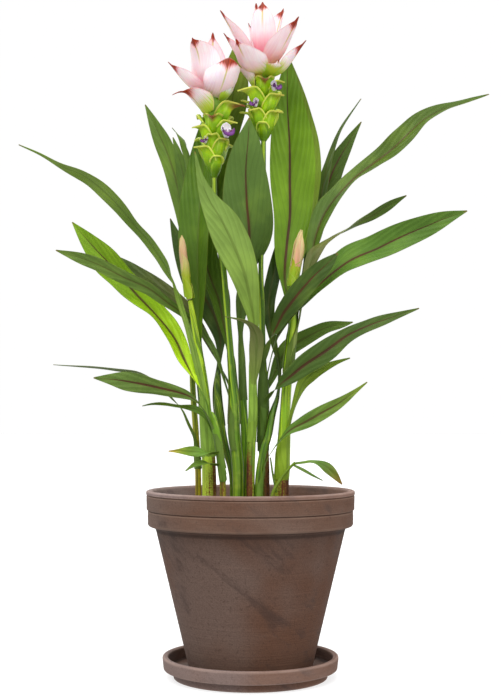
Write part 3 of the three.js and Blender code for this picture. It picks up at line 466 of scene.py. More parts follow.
# Each stem is a path from the soil, radii and tones along it, then how brown its old sheaths are, up to what
# height, and to which side.
stem_shares = np.linspace(0, 1, 121)
stems = {
    "outer_left": dict(
        path=[(-46, 12, 178), (-48, 12, 213), (-50, 13, 239), (-51, 15, 261), (-50, 20, 283), (-52, 26, 310),
        (-54, 30, 337), (-55, 33, 360)], radii=[2.6, 2.6, 2.5, 2.4, 2.1, 1.6],
        tones=[(216, 166, 66), (168, 166, 52), (105, 135, 40), (85, 115, 45)], brown=0.3, brown_top=205,
        brown_side=-90,
    ),
    "thick_left": dict(
        path=[(-36, 0, 179), (-38, 0, 213), (-40, 0, 239), (-43, -1, 265), (-46, -2, 287), (-49, -3, 307),
        (-52, -5, 325)], radii=[6.2, 5.9, 4.9, 4.2, 2.9, 2.1],
        tones=[(200, 222, 100), (168, 208, 58), (164, 212, 44), (186, 212, 66)], brown=0.85, brown_top=196,
        brown_side=100,
    ),
    "front_left": dict(
        path=[(-24, -14, 171), (-26, -15, 196), (-29, -16, 213), (-33, -16, 229)], radii=[2.6, 2.7, 2.9, 2.6],
        tones=[(190, 150, 60), (136, 150, 46), (102, 142, 46), (122, 162, 50)], brown=0.55, brown_top=200,
        brown_side=-20,
    ),
    "behind_left": dict(
        path=[(-16, 10, 174), (-22, 12, 198), (-26, 14, 217), (-29, 16, 239), (-29, 18, 266)],
        radii=[3, 3, 3.4, 3.6, 1.8], tones=[(130, 166, 50), (92, 128, 34), (86, 116, 32), (86, 116, 36)],
        brown=0.5, brown_top=230, brown_side=-120,
    ),
    "flower_left": dict(
        path=[(-11, -1, 179), (-14, -1, 213), (-14, -1, 239), (-16, -1, 265), (-18, 0, 291), (-21, 0, 326),
        (-24, 0, 359), (-29, -1, 391), (-31, -2, 412), (-31.4, -3, 431)],
        radii=[4.8, 5.2, 4.9, 3.2, 2.6, 2.6, 2.4, 2.3, 2.2],
        tones=[(125, 160, 60), (105, 145, 45), (100, 140, 45), (110, 145, 60), (120, 155, 60)], brown=0.3,
        brown_top=180, brown_side=180,
    ),
    "behind_middle": dict(
        path=[(-5, 10, 178), (-5, 10, 204), (-6, 10, 231), (-7, 11, 257), (-8, 12, 283)],
        radii=[2.6, 3.4, 3.4, 2.8, 2], tones=[(150, 196, 56), (120, 166, 44), (114, 154, 46)], brown=0.4,
        brown_top=185, brown_side=90,
    ),
    "front_middle": dict(
        path=[(0, -10, 179), (1, -10, 205), (2, -11, 231), (2, -12, 256)], radii=[3.4, 3.6, 3.2, 2.2],
        tones=[(125, 150, 45), (115, 150, 45), (110, 145, 50)], brown=0.95, brown_top=192, brown_side=-60,
    ),
    "flower_right": dict(
        path=[(12, 1, 179), (11, 1, 205), (11, 1, 231), (11, 2, 257), (10, 3, 283), (10, 6, 318), (9, 8, 353),
        (10, 8, 388), (11, 6, 422), (11.2, 4, 456), (11.2, 4, 464)],
        radii=[4.2, 4.4, 4.2, 3.4, 2.6, 2.2, 2.2, 2.2, 2.2],
        tones=[(106, 132, 40), (98, 132, 36), (84, 120, 36), (80, 112, 44), (98, 134, 48)], brown=0.95,
        brown_top=190, brown_side=70,
    ),
    "front_right": dict(
        path=[(7, -9, 170), (11, -9, 196), (15, -8, 209), (18, -6, 224), (23, -2, 242)],
        radii=[3, 3.2, 3, 2.4, 1.5], tones=[(110, 145, 50), (90, 130, 40), (75, 110, 35)], brown=0.3,
        brown_top=175, brown_side=0,
    ),
    "thick_right": dict(
        path=[(27, -2, 179), (29, -2, 213), (31, -2, 248), (34, -2, 282), (37, -3, 307), (37, -3, 321),
        (36, -3, 336)], radii=[6.2, 6.2, 5, 4.3, 4.2, 3.4, 2.4],
        tones=[(182, 206, 80), (154, 196, 50), (142, 190, 44), (136, 182, 46)], brown=1.0, brown_top=206,
        brown_side=80,
    ),
}

sheath = surface_group("leaf_sheath")
ribs_place = combined(sheath, stored(sheath, "around"), stored(sheath, "along"))
ribs = streaked(sheath, ribs_place, (1500, 16, 1))
blotches = mottle(sheath, object_place(sheath), 90, 3)
tone = tint(sheath, stored(sheath, "tone", "Color"), (60, 92, 22), ribs, 0.3, 0.7, 0.3, 0)
tone = tint(sheath, tone, (205, 215, 120), blotches, 0.5, 0.75, 0, 0.25)
# Painted shade and painted highlight: broad dark and pale stripes along the sheaths stand in for the shading
# at a stem's sides and the light down its middle.
shade_and_light_stripes = streaked(sheath, ribs_place, (330, 5, 1))
tone = tint(sheath, tone, (44, 80, 6), shade_and_light_stripes, 0.4, 0.54, 0.75, 0)
tone = tint(sheath, tone, (186, 214, 70), shade_and_light_stripes, 0.52, 0.64, 0, 0.6)
specks = mottle(sheath, object_place(sheath), 700, 2)
brown = roughened(sheath, stored(sheath, "brown"), ribs, 1.1)
brown = roughened(sheath, brown, specks, 0.9)
tone = tint(sheath, tone, (104, 58, 26), brown, 0.25, 0.75)
tone = tint(sheath, tone, (50, 24, 16), brown, 0.7, 1.15)
tone = mixed(sheath, 1, tone, colour(255, 255, 190), "MULTIPLY")
sheath_finish = finish(
    sheath, tone, fade(sheath, brown, 0.2, 0.8, 0.36, 0.7), relief(sheath, ribs, 0.00035),
    Specular_IOR_Level=0.35, Subsurface_Weight=0.06, Subsurface_Scale=0.002)

soil_level = 150
for name, stem in stems.items():
    middle, tangent, radius, length = stem_line(stem)
    bears = "flower" in name or "thick" in name
    end_taper = 1 if bears else np.clip((1 - stem_shares) * length / 5, 0.12, 1) ** 0.5
    points, faces, angle = tube(middle, tangent, radius * end_taper, step=0.25 if bears else 0.5)
    columns = angle.shape[1]
    height = np.repeat(middle[:, 2], columns)
    toward = angle.ravel() + math.radians(stem["brown_side"] - 90)
    reach = stem["brown_top"] - 14 + 16 * np.cos(toward)
    brown = stem["brown"] * np.clip((reach - height) / 34 + 0.6, 0, 1) * (0.66 + 0.34 * np.cos(toward))
    around = angle.ravel() * np.repeat(radius, columns)
    values = {"around": around / metre, "along": height / metre, "brown": brown}
    up = (middle[:, 2] - soil_level) / (middle[-1, 2] - soil_level)
    tones = np.repeat(tones_along(stem["tones"], np.clip(up, 0, 1)), columns, axis=0)
    mesh_piece(f"stem_{name}_sheaths", f"stem_{name}", points, faces, sheath_finish, values,
               {"tone": tones})


# Leaves: thin arching blades with a maroon midrib, a groove above and a rib below. Side veins run forward to
# the margin at a sharp angle. Each blade grows out of a sheath that is wrapped round its stem.
def closed_sheet(face, back):
    """Closed thin body between two grids of points. The face looks to the left of the way its rows run."""
    shape = face.shape[:2]
    count = shape[0] * shape[1]
    index = np.arange(count).reshape(shape)
    quads = np.stack([index[:-1, :-1], index[:-1, 1:], index[1:, 1:], index[1:, :-1]], axis=-1).reshape(-1, 4)
    loop = np.concatenate([index[0, :-1], index[:-1, -1], index[-1, :0:-1], index[:0:-1, 0]])
    ahead = np.roll(loop, -1)
    rim = np.stack([ahead, loop, loop + count, ahead + count], axis=-1)
    faces = np.vstack([quads, quads[:, ::-1] + count, rim]).tolist()
    return np.vstack([face.reshape(-1, 3), back.reshape(-1, 3)]), faces


def on_both_faces(shape, **given):
    """Values of a closed sheet, alike on its two faces"""
    return {key: np.tile(np.broadcast_to(value, shape).ravel(), 2) for key, value in given.items()}


def shell(middle, across, normal, out, lift, above, below):
    """Closed thin body. out and lift say where each row of the sheet lies, across the blade and out of its
    upper face, and above and below how far its two faces are from the sheet."""
    step_out, step_lift = np.gradient(out, axis=1), np.gradient(lift, axis=1)
    size = np.hypot(step_out, step_lift)

    def skin(offset):
        sideways = across[:, None] * (out - step_lift / size * offset)[..., None]
        return middle[:, None] + sideways + normal[:, None] * (lift + step_out / size * offset)[..., None]

    return closed_sheet(skin(above), skin(-below))


def blade(middle, tangent, turn, half, share, fold, seed,
          contact=0.0, wrap=1.0, lean=0.0, wave=0.0, waves=0.0):
    """Leaf blade along a middle line. contact is how much each row hugs the stem, and wrap how far off its
    axis. lean makes one side broader, and wave is how far the sides rise and sink, waves times."""
    rng = np.random.default_rng(seed)
    across, normal = facing(tangent, turn)
    rib = np.minimum(1.0, 0.3 * half)
    columns = np.linspace(0, 1, 8)[1:] ** 0.85
    reach = np.column_stack([0 * rib, rib * 0.5, rib, *[rib + (half - rib) * c for c in columns]])
    flank = reach.shape[1] - 1
    side = np.repeat([-1.0, 0.0, 1.0], (flank, 1, flank))
    away = np.hstack([reach[:, :0:-1], reach]) * (1 + side * lean)
    s = away / half[:, None]
    along = np.append(0, np.cumsum(np.linalg.norm(np.diff(middle, axis=0), axis=1)))
    soft = (1.6 * np.minimum(1, half / 6))[:, None]
    lift = math.sin(fold) * (np.sqrt(away ** 2 + soft ** 2) - soft) - 0.05 * half[:, None] * s ** 3
    ripple = 0
    for length in (58, 33):
        phase = rng.uniform(0, 6.28, 2)
        bend = 2 * math.pi * along[:, None] / (length * rng.uniform(0.85, 1.2))
        ripple = ripple + np.where(side < 0, np.sin(bend + phase[0]), np.sin(bend + phase[1])) * length / 58
    swell = np.minimum(1, half / 12)[:, None]
    lift = lift + 0.55 * ripple * swell * s ** 2
    rise = wave * np.sin(2 * math.pi * waves * share) * half / half.max()
    lift = lift + side * s ** 2 * rise[:, None]
    out = side * away * math.cos(fold)
    hug = np.broadcast_to(contact, half.shape)[:, None]
    curl = np.maximum(hug / np.reshape(wrap, (-1, 1)), 1e-5)
    bent_out, bent_lift = side * np.sin(curl * away) / curl, (1 - np.cos(curl * away)) / curl
    out, lift = out * (1 - hug) + bent_out * hug, lift * (1 - hug) + bent_lift * hug
    strength = np.minimum(1, half / 7)[:, None] * (1 - hug) * (1 - 0.65 * share[:, None])
    ridge = np.exp(-(away / (rib[:, None] + 0.05)) ** 2) * strength
    points, faces = shell(middle, across, normal, out, lift, 0.16 - 0.3 * ridge, 0.16 + 0.75 * ridge)
    values = on_both_faces(out.shape, across=side * away / metre, along=along[:, None] / metre,
                           half=half[:, None] / metre, share=share[:, None])
    values["upper"] = np.repeat([1.0, 0.0], out.size)
    return points, faces, values


def wrapped(angle):
    """The same angle between minus and plus half a turn"""
    return (angle + math.pi) % (2 * math.pi) - math.pi


def leaf_blade(leaf, gap, seed):
    """A leaf from where its sheath begins on the stem to its tip"""
    line, _, radius, _ = stem_line(stems[leaf["stem"]])
    start = leaf["path"][0][2] - leaf.get("drop", 8)

    def stem_at(heights):
        x, y, size = (np.interp(heights, line[:, 2], given) for given in (line[:, 0], line[:, 1], radius))
        return np.stack([x, y], axis=-1), size

    path = [(*stem_at(start)[0], start), *leaf["path"]]
    row_length, fewest, most = 3.6, 22, 78
    rows = int(np.clip(curve_through(path, 3)[2] / row_length, fewest, most))
    middle = curve_through(path, rows)[0]
    axis, size = stem_at(middle[:, 2])
    away = np.linalg.norm(middle[:, :2] - axis, axis=1)
    clear = 1.4
    free = int(np.argmax(away > size + clear)) or 3
    radial = (middle[free, :2] - axis[free]) / away[free]
    for k in range(free):
        middle[k, :2] = axis[k] + radial * max(size[k] + gap, (middle[k, :2] - axis[k]) @ radial)
    wrapped_rows = 9
    down = np.linspace(-leaf.get("sheath", 34), -3.5, wrapped_rows)
    sheath_axis, sheath_size = stem_at(start + down)
    sunk = np.clip((down - down[0]) / 8, 0, 1) * (gap + 0.5) - 0.35
    sheath = np.column_stack([sheath_axis + radial * (sheath_size + sunk)[:, None], start + down])
    middle = np.vstack([sheath, middle])
    middle[1:-1] = (middle[:-2] + 2 * middle[1:-1] + middle[2:]) / 4
    tangent = unit(np.gradient(middle, axis=0))
    share = np.append(0 * down, np.linspace(0, 1, rows))
    apart = np.append(0 * down, np.where(np.arange(rows) < free, 0, away - size - clear))
    contact = np.clip(1 - apart / 6, 0, 1) ** 2
    half = np.maximum(smooth(leaf["half_widths"], share), 0.3)
    below = np.clip((free + wrapped_rows - np.arange(len(middle))) * 3.5 / 22, 0, 1)
    half = half + np.clip(2.35 * size[0] - half, 0, None) * below ** 1.5
    table = np.radians(smooth(leaf["turn"], share))
    base = math.atan2(*radial)
    untwist = 24
    loosened = np.clip(apart / untwist, 0, 1)
    loosened = loosened ** 2 * (3 - 2 * loosened)
    turn = base + loosened * np.unwrap(wrapped(table - base))
    options = {key: leaf[key] for key in ("lean", "wave", "waves") if key in leaf}
    wrap = np.concatenate([sheath_size, size]) + gap + 0.25
    fold = math.radians(leaf["fold"])
    return blade(middle, tangent, turn, half, share, fold, seed, contact, wrap, **options)


# Each leaf is its stem, how far its halves fold up in degrees, how dark its midrib is, its turn and half
# widths along it, its path, and its tones above and below. drop is how far below the path it leaves its stem,
# and sheath is the length of its foot that is wrapped round the stem.
leaves = {
    "tall_left": dict(
        stem="thick_left", fold=33, midrib=0.15, turn=[35, 35, 30, 20],
        half_widths=[2.6, 3, 6, 11, 15.5, 18.5, 19, 17.5, 14, 8, 0.5],
        path=[(-43, 0, 272), (-45, 3, 296), (-45, 5, 326), (-46, 8, 359), (-45, 12, 396), (-43, 17, 427),
        (-41, 22, 458), (-39, 26, 497)], upper=[(104, 144, 20), (74, 106, 8), (80, 116, 24), (88, 124, 38)],
    ),
    "tall_middle": dict(
        stem="behind_middle", fold=10, midrib=1.0, turn=[0, 0, 0],
        half_widths=[2, 2, 5, 10.5, 17, 21, 22, 20.5, 17, 11, 0.5],
        path=[(-8, 11, 281), (-9, 8, 302), (-7, 3, 326), (-3, -3, 353), (-1, -8, 381), (-3, -12, 406),
        (-4, -14, 436), (-2, -16, 461), (-1, -17, 480)], upper=[(60, 88, 42), (76, 104, 50), (90, 120, 64)],
    ),
    "front_pale": dict(
        stem="front_middle", fold=8, midrib=0.6, turn=[180, 180, 175, 170],
        half_widths=[2, 2, 3, 5.7, 9.5, 12.8, 15, 13.5, 8, 3, 0.5],
        path=[(3, -12, 258), (3, -14, 282), (3, -20, 305), (-1, -28, 328), (-6, -36, 348), (-15, -43, 370),
        (-24, -48, 388), (-34, -50, 404), (-41, -51, 421), (-46, -52, 444)], upper=[(80, 110, 50)],
        under=[(137, 172, 78), (132, 162, 82), (134, 164, 94), (112, 140, 74)],
    ),
    "folded_small": dict(
        stem="front_middle", fold=15, midrib=0.2, turn=[180, 180, 215, 240, 245],
        half_widths=[2.4, 2.6, 3.5, 5, 6, 6.5, 6, 4.5, 3, 1.5, 0.5],
        path=[(3, -13, 245), (4, -17, 263), (5, -22, 282), (5, -28, 294), (1, -35, 301), (-6, -40, 305),
        (-15, -44, 307), (-21, -47, 308)], upper=[(100, 140, 55)],
        under=[(128, 160, 62), (120, 128, 88), (114, 118, 86)],
    ),
    "tall_right": dict(
        stem="thick_right", fold=12, midrib=1.0, lean=0.2, turn=[-20, -15, -10, -5, 0],
        half_widths=[2, 2.6, 6.5, 14, 18, 21.3, 23.6, 22.4, 18, 11.8, 2.5],
        path=[(34, 0, 304), (33, 6, 320), (30, 16, 348), (32, 22, 376), (35, 29, 403), (35, 34, 435),
        (35, 37, 467), (33, 38, 504), (33, 38, 544)],
        upper=[(74, 102, 10), (92, 130, 8), (112, 152, 12), (106, 146, 16), (88, 126, 34)],
    ),
    "long_right": dict(
        stem="thick_right", fold=30, midrib=0.7, wave=2.5, waves=2.5, turn=[35, 30, 45, 25, 40, 30],
        half_widths=[2, 3, 5.5, 9, 11, 10, 10, 10.5, 9.5, 5.2, 0.5],
        path=[(42, -1, 318), (48, 8, 340), (53, 15, 360), (57, 18, 382), (66, 23, 405), (80, 31, 424),
        (96, 41, 441), (113, 51, 455), (129, 58, 468), (144, 63, 483), (160, 67, 498), (179, 70, 508),
        (197, 72, 514), (220, 74, 522)], upper=[(74, 102, 40), (80, 108, 44), (74, 98, 34), (80, 106, 40)],
        under=[(130, 146, 92)],
    ),
    "narrow_right": dict(
        stem="thick_right", fold=10, midrib=0.3, turn=[35, 35, 35, 45, 55],
        half_widths=[1.3, 1.8, 3, 5, 6.5, 7, 6, 4, 2.5, 1.4, 0.5],
        path=[(40, 3, 326), (44, 15, 340), (49, 26, 354), (54, 36, 381), (62, 43, 413), (66, 48, 436),
        (73, 53, 463), (82, 57, 486), (92, 60, 502), (101, 62, 515)],
        upper=[(42, 62, 14), (48, 70, 18), (66, 90, 34)], under=[(42, 62, 14), (50, 70, 20)],
    ),
    "dark_upper_right": dict(
        stem="thick_right", fold=15, midrib=1.0, turn=[20, 15, 0, 0],
        half_widths=[1.3, 1.5, 2, 3, 6, 9.2, 11, 10.6, 8.4, 4.8, 0.5],
        path=[(38, 1, 314), (42, 14, 328), (46, 26, 344), (51, 38, 364), (56, 49, 383), (61, 57, 411),
        (68, 62, 430), (77, 66, 453), (88, 69, 473), (95, 70, 485), (102, 71, 496)],
        upper=[(40, 66, 6), (58, 84, 12), (66, 92, 20)],
    ),
    "twisted_right": dict(
        stem="thick_right", fold=12, midrib=0.5, turn=[215, 215, 215, 245, 275, 330, 345],
        half_widths=[1.3, 1.5, 3, 4.5, 5.5, 6, 5.5, 5, 4.5, 4, 0.5],
        path=[(41, -5, 304), (44, -6, 322), (48, -7, 341), (52, -5, 359), (59, 0, 372), (70, 7, 381),
        (84, 15, 389), (97, 19, 397), (107, 21, 402), (119, 20, 409), (129, 18, 415), (137, 16, 419)],
        upper=[(72, 96, 38)], under=[(82, 104, 42), (98, 98, 68), (88, 102, 50)],
    ),
    "broad_right": dict(
        stem="flower_right", fold=20, midrib=1.0, turn=[45, 45, 45, 45, 47, 45, 32, 8, 0, 0],
        half_widths=[2, 2, 3, 6, 10, 13, 15, 13.5, 11.4, 8, 0.5],
        path=[(13, 3, 250), (19, -1, 280), (29, -12, 305), (42, -15, 322), (56, -17, 335), (70, -21, 347),
        (86, -25, 358), (106, -31, 366), (125, -37, 375), (145, -43, 383), (163, -48, 390), (179, -52, 395)],
        upper=[(58, 92, 22), (62, 94, 26), (80, 118, 40), (84, 122, 50), (78, 112, 46)],
    ),
    "dark_front_right": dict(
        stem="flower_right", fold=10, midrib=1.0, turn=[10, 5, 0],
        half_widths=[2, 2, 3, 4.5, 6, 7.7, 9, 9, 8, 6, 1],
        path=[(10, -2, 267), (15, -9, 286), (22, -14, 301), (28, -19, 313), (35, -24, 322), (43, -28, 332),
        (54, -32, 344), (64, -34, 353), (73, -35, 362)], upper=[(38, 60, 16), (50, 74, 28), (56, 80, 36)],
    ),
    "middle_right_back": dict(
        stem="flower_right", fold=12, midrib=0.4, turn=[10, 10, 5],
        half_widths=[1.6, 1.6, 3, 5, 7, 7.8, 7.4, 6.3, 5.2, 3.5, 0.5],
        path=[(12, 5, 244), (18, 9, 256), (25, 13, 272), (33, 14, 285), (41, 14, 290), (54, 12, 297),
        (67, 9, 303), (80, 6, 305), (89, 4, 307)], upper=[(68, 98, 36), (90, 120, 50), (88, 116, 52)],
    ),
    "middle_right": dict(
        stem="flower_right", fold=12, midrib=1.0, turn=[5, 0, 20, 5],
        half_widths=[1.6, 2.2, 4.5, 7.8, 9.5, 9.6, 7.2, 5.7, 5, 2.7, 0.5],
        path=[(12, -4, 237), (17, -10, 244), (26, -14, 253), (35, -17, 260), (46, -20, 269), (63, -25, 280),
        (81, -30, 293), (98, -35, 301), (118, -41, 308), (140, -46, 315)],
        upper=[(48, 76, 24), (64, 90, 38), (66, 90, 44), (78, 100, 46)],
    ),
    "low_right_narrow": dict(
        stem="thick_right", fold=12, midrib=0.2, turn=[20, 90, 200, 200],
        half_widths=[2, 2, 1.8, 2.5, 4, 5.5, 6, 5, 3.5, 1.8, 0.5],
        path=[(32, -5, 212), (35, -9, 226), (40, -11, 242), (45, -12, 254), (52, -13, 261), (63, -14, 267),
        (75, -15, 272), (85, -16, 275)], upper=[(106, 144, 44)], under=[(134, 164, 46), (116, 144, 44)],
    ),
    "low_right": dict(
        stem="front_right", fold=10, midrib=0.8, turn=[10, 5, 0],
        half_widths=[1.6, 1.4, 1.6, 2.6, 4.2, 6, 6.3, 5.5, 3.8, 1.9, 0.5],
        path=[(13, -9, 186), (17, -11, 193), (24, -14, 203), (33, -17, 213), (44, -20, 219), (60, -24, 228),
        (77, -29, 238), (98, -34, 254)], upper=[(86, 124, 46), (92, 130, 56), (100, 130, 60), (126, 148, 58)],
    ),
    "long_left": dict(
        stem="thick_left", fold=8, midrib=0.1, turn=[30, 45, 60, 62, 62, 62, 62, 50, 60, 60, 60],
        half_widths=[2.6, 3, 3.5, 5.5, 7.5, 8.5, 8, 8.5, 7.5, 2.5, 0.5],
        path=[(-39, -3, 232), (-41, -7, 248), (-45, -12, 267), (-50, -17, 288), (-55, -19, 306),
        (-60, -19, 322), (-65, -20, 338), (-74, -21, 356), (-85, -24, 372), (-97, -28, 386), (-109, -33, 400),
        (-123, -39, 414), (-138, -45, 425), (-156, -51, 432), (-173, -56, 441), (-190, -60, 448)],
        upper=[(130, 172, 70), (128, 164, 74), (118, 152, 66), (104, 136, 54), (126, 156, 74),
        (112, 142, 58)],
    ),
    "outer_left": dict(
        stem="outer_left", fold=14, midrib=0.35, turn=[25, 20, 10],
        half_widths=[1.6, 1.6, 2.5, 4.5, 6.5, 8, 8.8, 8.6, 8.2, 4.8, 0.5],
        path=[(-54, 29, 328), (-55, 42, 356), (-57, 49, 383), (-62, 54, 416), (-68, 58, 441), (-77, 62, 468),
        (-87, 66, 490), (-97, 72, 512)], upper=[(66, 92, 32), (94, 124, 46), (98, 128, 52), (92, 120, 52)],
    ),
    "back_left_upper": dict(
        stem="outer_left", fold=10, midrib=0.2, turn=[0, 0, 10],
        half_widths=[1.2, 1.4, 1.6, 2, 2.8, 4, 5.2, 6.2, 6.2, 4, 0.5],
        path=[(-54, 30, 338), (-53, 31, 359), (-53, 31, 385), (-52, 31, 411), (-52, 32, 438), (-55, 33, 458),
        (-62, 35, 473), (-70, 37, 483)], upper=[(78, 112, 38), (92, 124, 50)],
    ),
    "back_left_lower": dict(
        stem="outer_left", fold=10, midrib=0.2, turn=[0, 0, 0],
        half_widths=[1.2, 1.4, 2, 3.5, 5, 6.5, 7.3, 7, 5.5, 3.2, 0.5],
        path=[(-54, 33, 350), (-53, 37, 366), (-54, 40, 386), (-56, 42, 413), (-60, 44, 440), (-65, 46, 461),
        (-70, 49, 477)], upper=[(72, 102, 36), (84, 114, 48)],
    ),
    "dark_left_back": dict(
        stem="behind_left", fold=12, midrib=0.6, turn=[20, 10, 0],
        half_widths=[1.5, 1.6, 3, 6.5, 10, 12, 12, 10.5, 8, 4.5, 0.5],
        path=[(-29, 18, 258), (-27, 26, 282), (-27, 33, 297), (-33, 42, 317), (-42, 48, 333), (-53, 52, 353),
        (-62, 55, 374), (-69, 57, 393), (-73, 58, 405)], upper=[(50, 72, 26), (52, 76, 34), (62, 86, 42)],
    ),
    "dark_middle_back": dict(
        stem="flower_left", fold=28, midrib=0.6, turn=[-20, -30, -30],
        half_widths=[1.6, 1.6, 2.5, 5.5, 9, 12, 13, 12, 9, 5, 0.5],
        path=[(-17, 2, 260), (-19, 10, 283), (-24, 18, 308), (-28, 22, 328), (-34, 25, 343), (-39, 26, 359),
        (-42, 26, 377), (-44, 25, 395), (-48, 24, 422)], upper=[(74, 106, 10), (80, 112, 12), (78, 110, 16)],
    ),
    "behind_flower": dict(
        stem="flower_left", fold=12, midrib=0.3, turn=[0, 0, 0],
        half_widths=[1.5, 1.5, 1.8, 2.5, 4, 7, 10, 13, 14, 11, 0.5],
        path=[(-18, 1, 278), (-20, 6, 300), (-22, 12, 335), (-26, 17, 370), (-29, 20, 406), (-29, 24, 432),
        (-26, 28, 459), (-22, 30, 482), (-17, 31, 502), (-14, 32, 523), (-13, 32, 542), (-12, 33, 560)],
        upper=[(98, 126, 30), (84, 112, 24), (114, 136, 40)],
    ),
    # Painted shade: this leaf's near-black tones stand for the deep shade inside the plant.
    "dark_inner_right": dict(
        stem="front_right", fold=15, midrib=0.3, turn=[0, 0, 0],
        half_widths=[1.3, 1.3, 1.6, 2.2, 3.5, 5, 6, 6.3, 5.5, 3.5, 0.5],
        path=[(22, -3, 236), (25, 3, 253), (25, 6, 270), (21, 9, 287), (17, 13, 308), (16, 17, 326),
        (20, 21, 348), (25, 25, 372), (30, 28, 397)], upper=[(28, 52, 2), (32, 58, 4)],
    ),
    # Painted light: the bright yellow-green tones about a fifth of the way up bright_left stand for sun
    # shining through the blade.
    "bright_left": dict(
        stem="front_left", fold=25, midrib=0.9, sheath=14, turn=[0, 0, -10, -20, -42, -55, -25, 5, 12, 0, 0],
        half_widths=[2.4, 2.5, 4, 7.5, 10.5, 13, 11.5, 11.8, 13.3, 8.1, 0.5],
        path=[(-34, -16, 225), (-39, -18, 240), (-47, -15, 255), (-56, -8, 272), (-66, 0, 293), (-83, 6, 314),
        (-101, 9, 333), (-120, 11, 355), (-138, 12, 374), (-156, 12, 395)],
        upper=[(104, 148, 42), (194, 234, 40), (172, 214, 20), (144, 188, 20), (128, 168, 26),
        (116, 156, 32)], under=[(104, 148, 42), (150, 190, 60)],
    ),
    "dark_left": dict(
        stem="flower_left", fold=14, midrib=0.5, turn=[20, 30, 30, 20, 0],
        half_widths=[1.6, 1.6, 2, 2.6, 3.2, 4.2, 5.7, 6.1, 6, 5, 0.5],
        path=[(-17, -1, 237), (-23, 4, 257), (-30, 8, 279), (-38, 13, 294), (-47, 14, 307), (-56, 9, 313),
        (-65, 0, 319), (-74, -4, 325), (-87, -7, 335), (-101, -9, 341), (-116, -12, 348), (-130, -15, 355),
        (-145, -19, 360), (-165, -24, 366)],
        upper=[(76, 104, 46), (90, 118, 60), (94, 122, 62), (92, 118, 60)],
    ),
    "grey_left": dict(
        stem="flower_left", fold=12, midrib=0.4, drop=4, turn=[200, 200, 190],
        half_widths=[1.4, 1.4, 2, 3, 4, 5, 6, 6.5, 6, 4, 0.5],
        path=[(-18, 2, 252), (-23, 8, 262), (-30, 13, 276), (-38, 17, 292), (-47, 19, 308), (-57, 20, 321),
        (-70, 24, 332), (-85, 28, 343), (-99, 32, 353), (-109, 34, 361), (-117, 36, 367)],
        upper=[(60, 84, 36)], under=[(84, 88, 60), (88, 86, 64), (72, 92, 54)],
    ),
    "low_left": dict(
        stem="front_left", fold=8, midrib=1.0, wave=1.2, waves=2, sheath=26, turn=[15, 5, 0],
        half_widths=[1.8, 1.6, 1.5, 2, 4.2, 5.6, 6.4, 7.9, 7.8, 4.3, 0.5],
        path=[(-32, -17, 214), (-36, -21, 224), (-42, -24, 234), (-51, -28, 242), (-63, -34, 246),
        (-80, -41, 250), (-100, -48, 254), (-116, -53, 256), (-129, -57, 257)],
        upper=[(70, 100, 40), (78, 106, 44), (88, 114, 56), (92, 118, 62), (82, 106, 54)],
    ),
    "edge_on_left": dict(
        stem="outer_left", fold=10, midrib=0.2, sheath=9, turn=[20, 40, 70, 80, 80],
        half_widths=[1.6, 1.4, 1.3, 1.4, 2, 3, 4, 4.5, 4, 2.5, 0.5],
        path=[(-47, 10, 196), (-49, 6, 208), (-54, 2, 219), (-59, -1, 231), (-68, -4, 241), (-76, -7, 250),
        (-85, -10, 257), (-96, -13, 263), (-112, -16, 265), (-132, -20, 267), (-167, -25, 269)],
        upper=[(84, 110, 50), (88, 108, 60)],
    ),
    "narrow_low_left": dict(
        stem="front_left", fold=10, midrib=0.2, turn=[40, 50, 60],
        half_widths=[1.4, 1.6, 2, 3, 3.2, 2.6, 2, 2, 2.2, 1.5, 0.5],
        path=[(-33, -13, 212), (-37, -12, 223), (-44, -14, 230), (-52, -17, 233), (-62, -20, 234),
        (-73, -24, 236), (-83, -28, 236), (-91, -31, 234)], upper=[(86, 124, 40), (92, 124, 44)],
    ),
    "short_left": dict(
        stem="front_left", fold=8, midrib=0.1, drop=1, sheath=16, turn=[0, 0, 0],
        half_widths=[3.4, 4, 4.5, 4.6, 4.6, 4.6, 4.3, 3.4, 2.2, 1.2, 0.5],
        path=[(-27, -15, 192), (-33, -20, 194), (-43, -24, 195), (-53, -27, 196), (-62, -30, 196),
        (-69, -32, 196)], upper=[(70, 108, 34), (88, 128, 48), (98, 134, 56), (130, 150, 56), (190, 150, 70)],
    ),
    "lowest_left": dict(
        stem="front_left", fold=8, midrib=0.1, drop=1, sheath=12, turn=[0, 0, 0],
        half_widths=[2.6, 3, 3.5, 3.8, 3.8, 3.5, 3, 2.4, 1.7, 1, 0.5],
        path=[(-25, -14, 182), (-31, -18, 184), (-40, -21, 186), (-48, -24, 184), (-55, -26, 179)],
        upper=[(72, 110, 36), (90, 124, 44), (92, 120, 46)],
    ),
}

skin = surface_group("leaf_skin")
across, along, half = stored(skin, "across"), stored(skin, "along"), stored(skin, "half")
away = calc(skin, "ABSOLUTE", across)
width = calc(skin, "MAXIMUM", half, 0.002)
out = calc(skin, "DIVIDE", away, width)
lag = product(skin, away, calc(skin, "MULTIPLY_ADD", out, 2.2, 3.8))
wander = product(skin, mottle(skin, object_place(skin), 30, 2), 0.02)
travel = calc(skin, "ADD", calc(skin, "SUBTRACT", along, lag), wander)
vein = calc(skin, "SINE", product(skin, travel, 2 * math.pi / 0.026))
thread = calc(skin, "SINE", product(skin, travel, 2 * math.pi / 0.0052))
vein_line = fade(skin, vein, 0.5, 1.0)
upper = fade(skin, stored(skin, "upper"), 0.45, 0.55)
tone = mixed(skin, upper, stored(skin, "tone_under", "Color"), stored(skin, "tone", "Color"))
patches = mottle(skin, object_place(skin), 30, 3, 0.55)
tone = tint(skin, tone, (38, 66, 10), patches, 0.3, 0.7, 0.3, 0)
tone = tint(skin, tone, (150, 180, 70), patches, 0.45, 0.8, 0, 0.16)
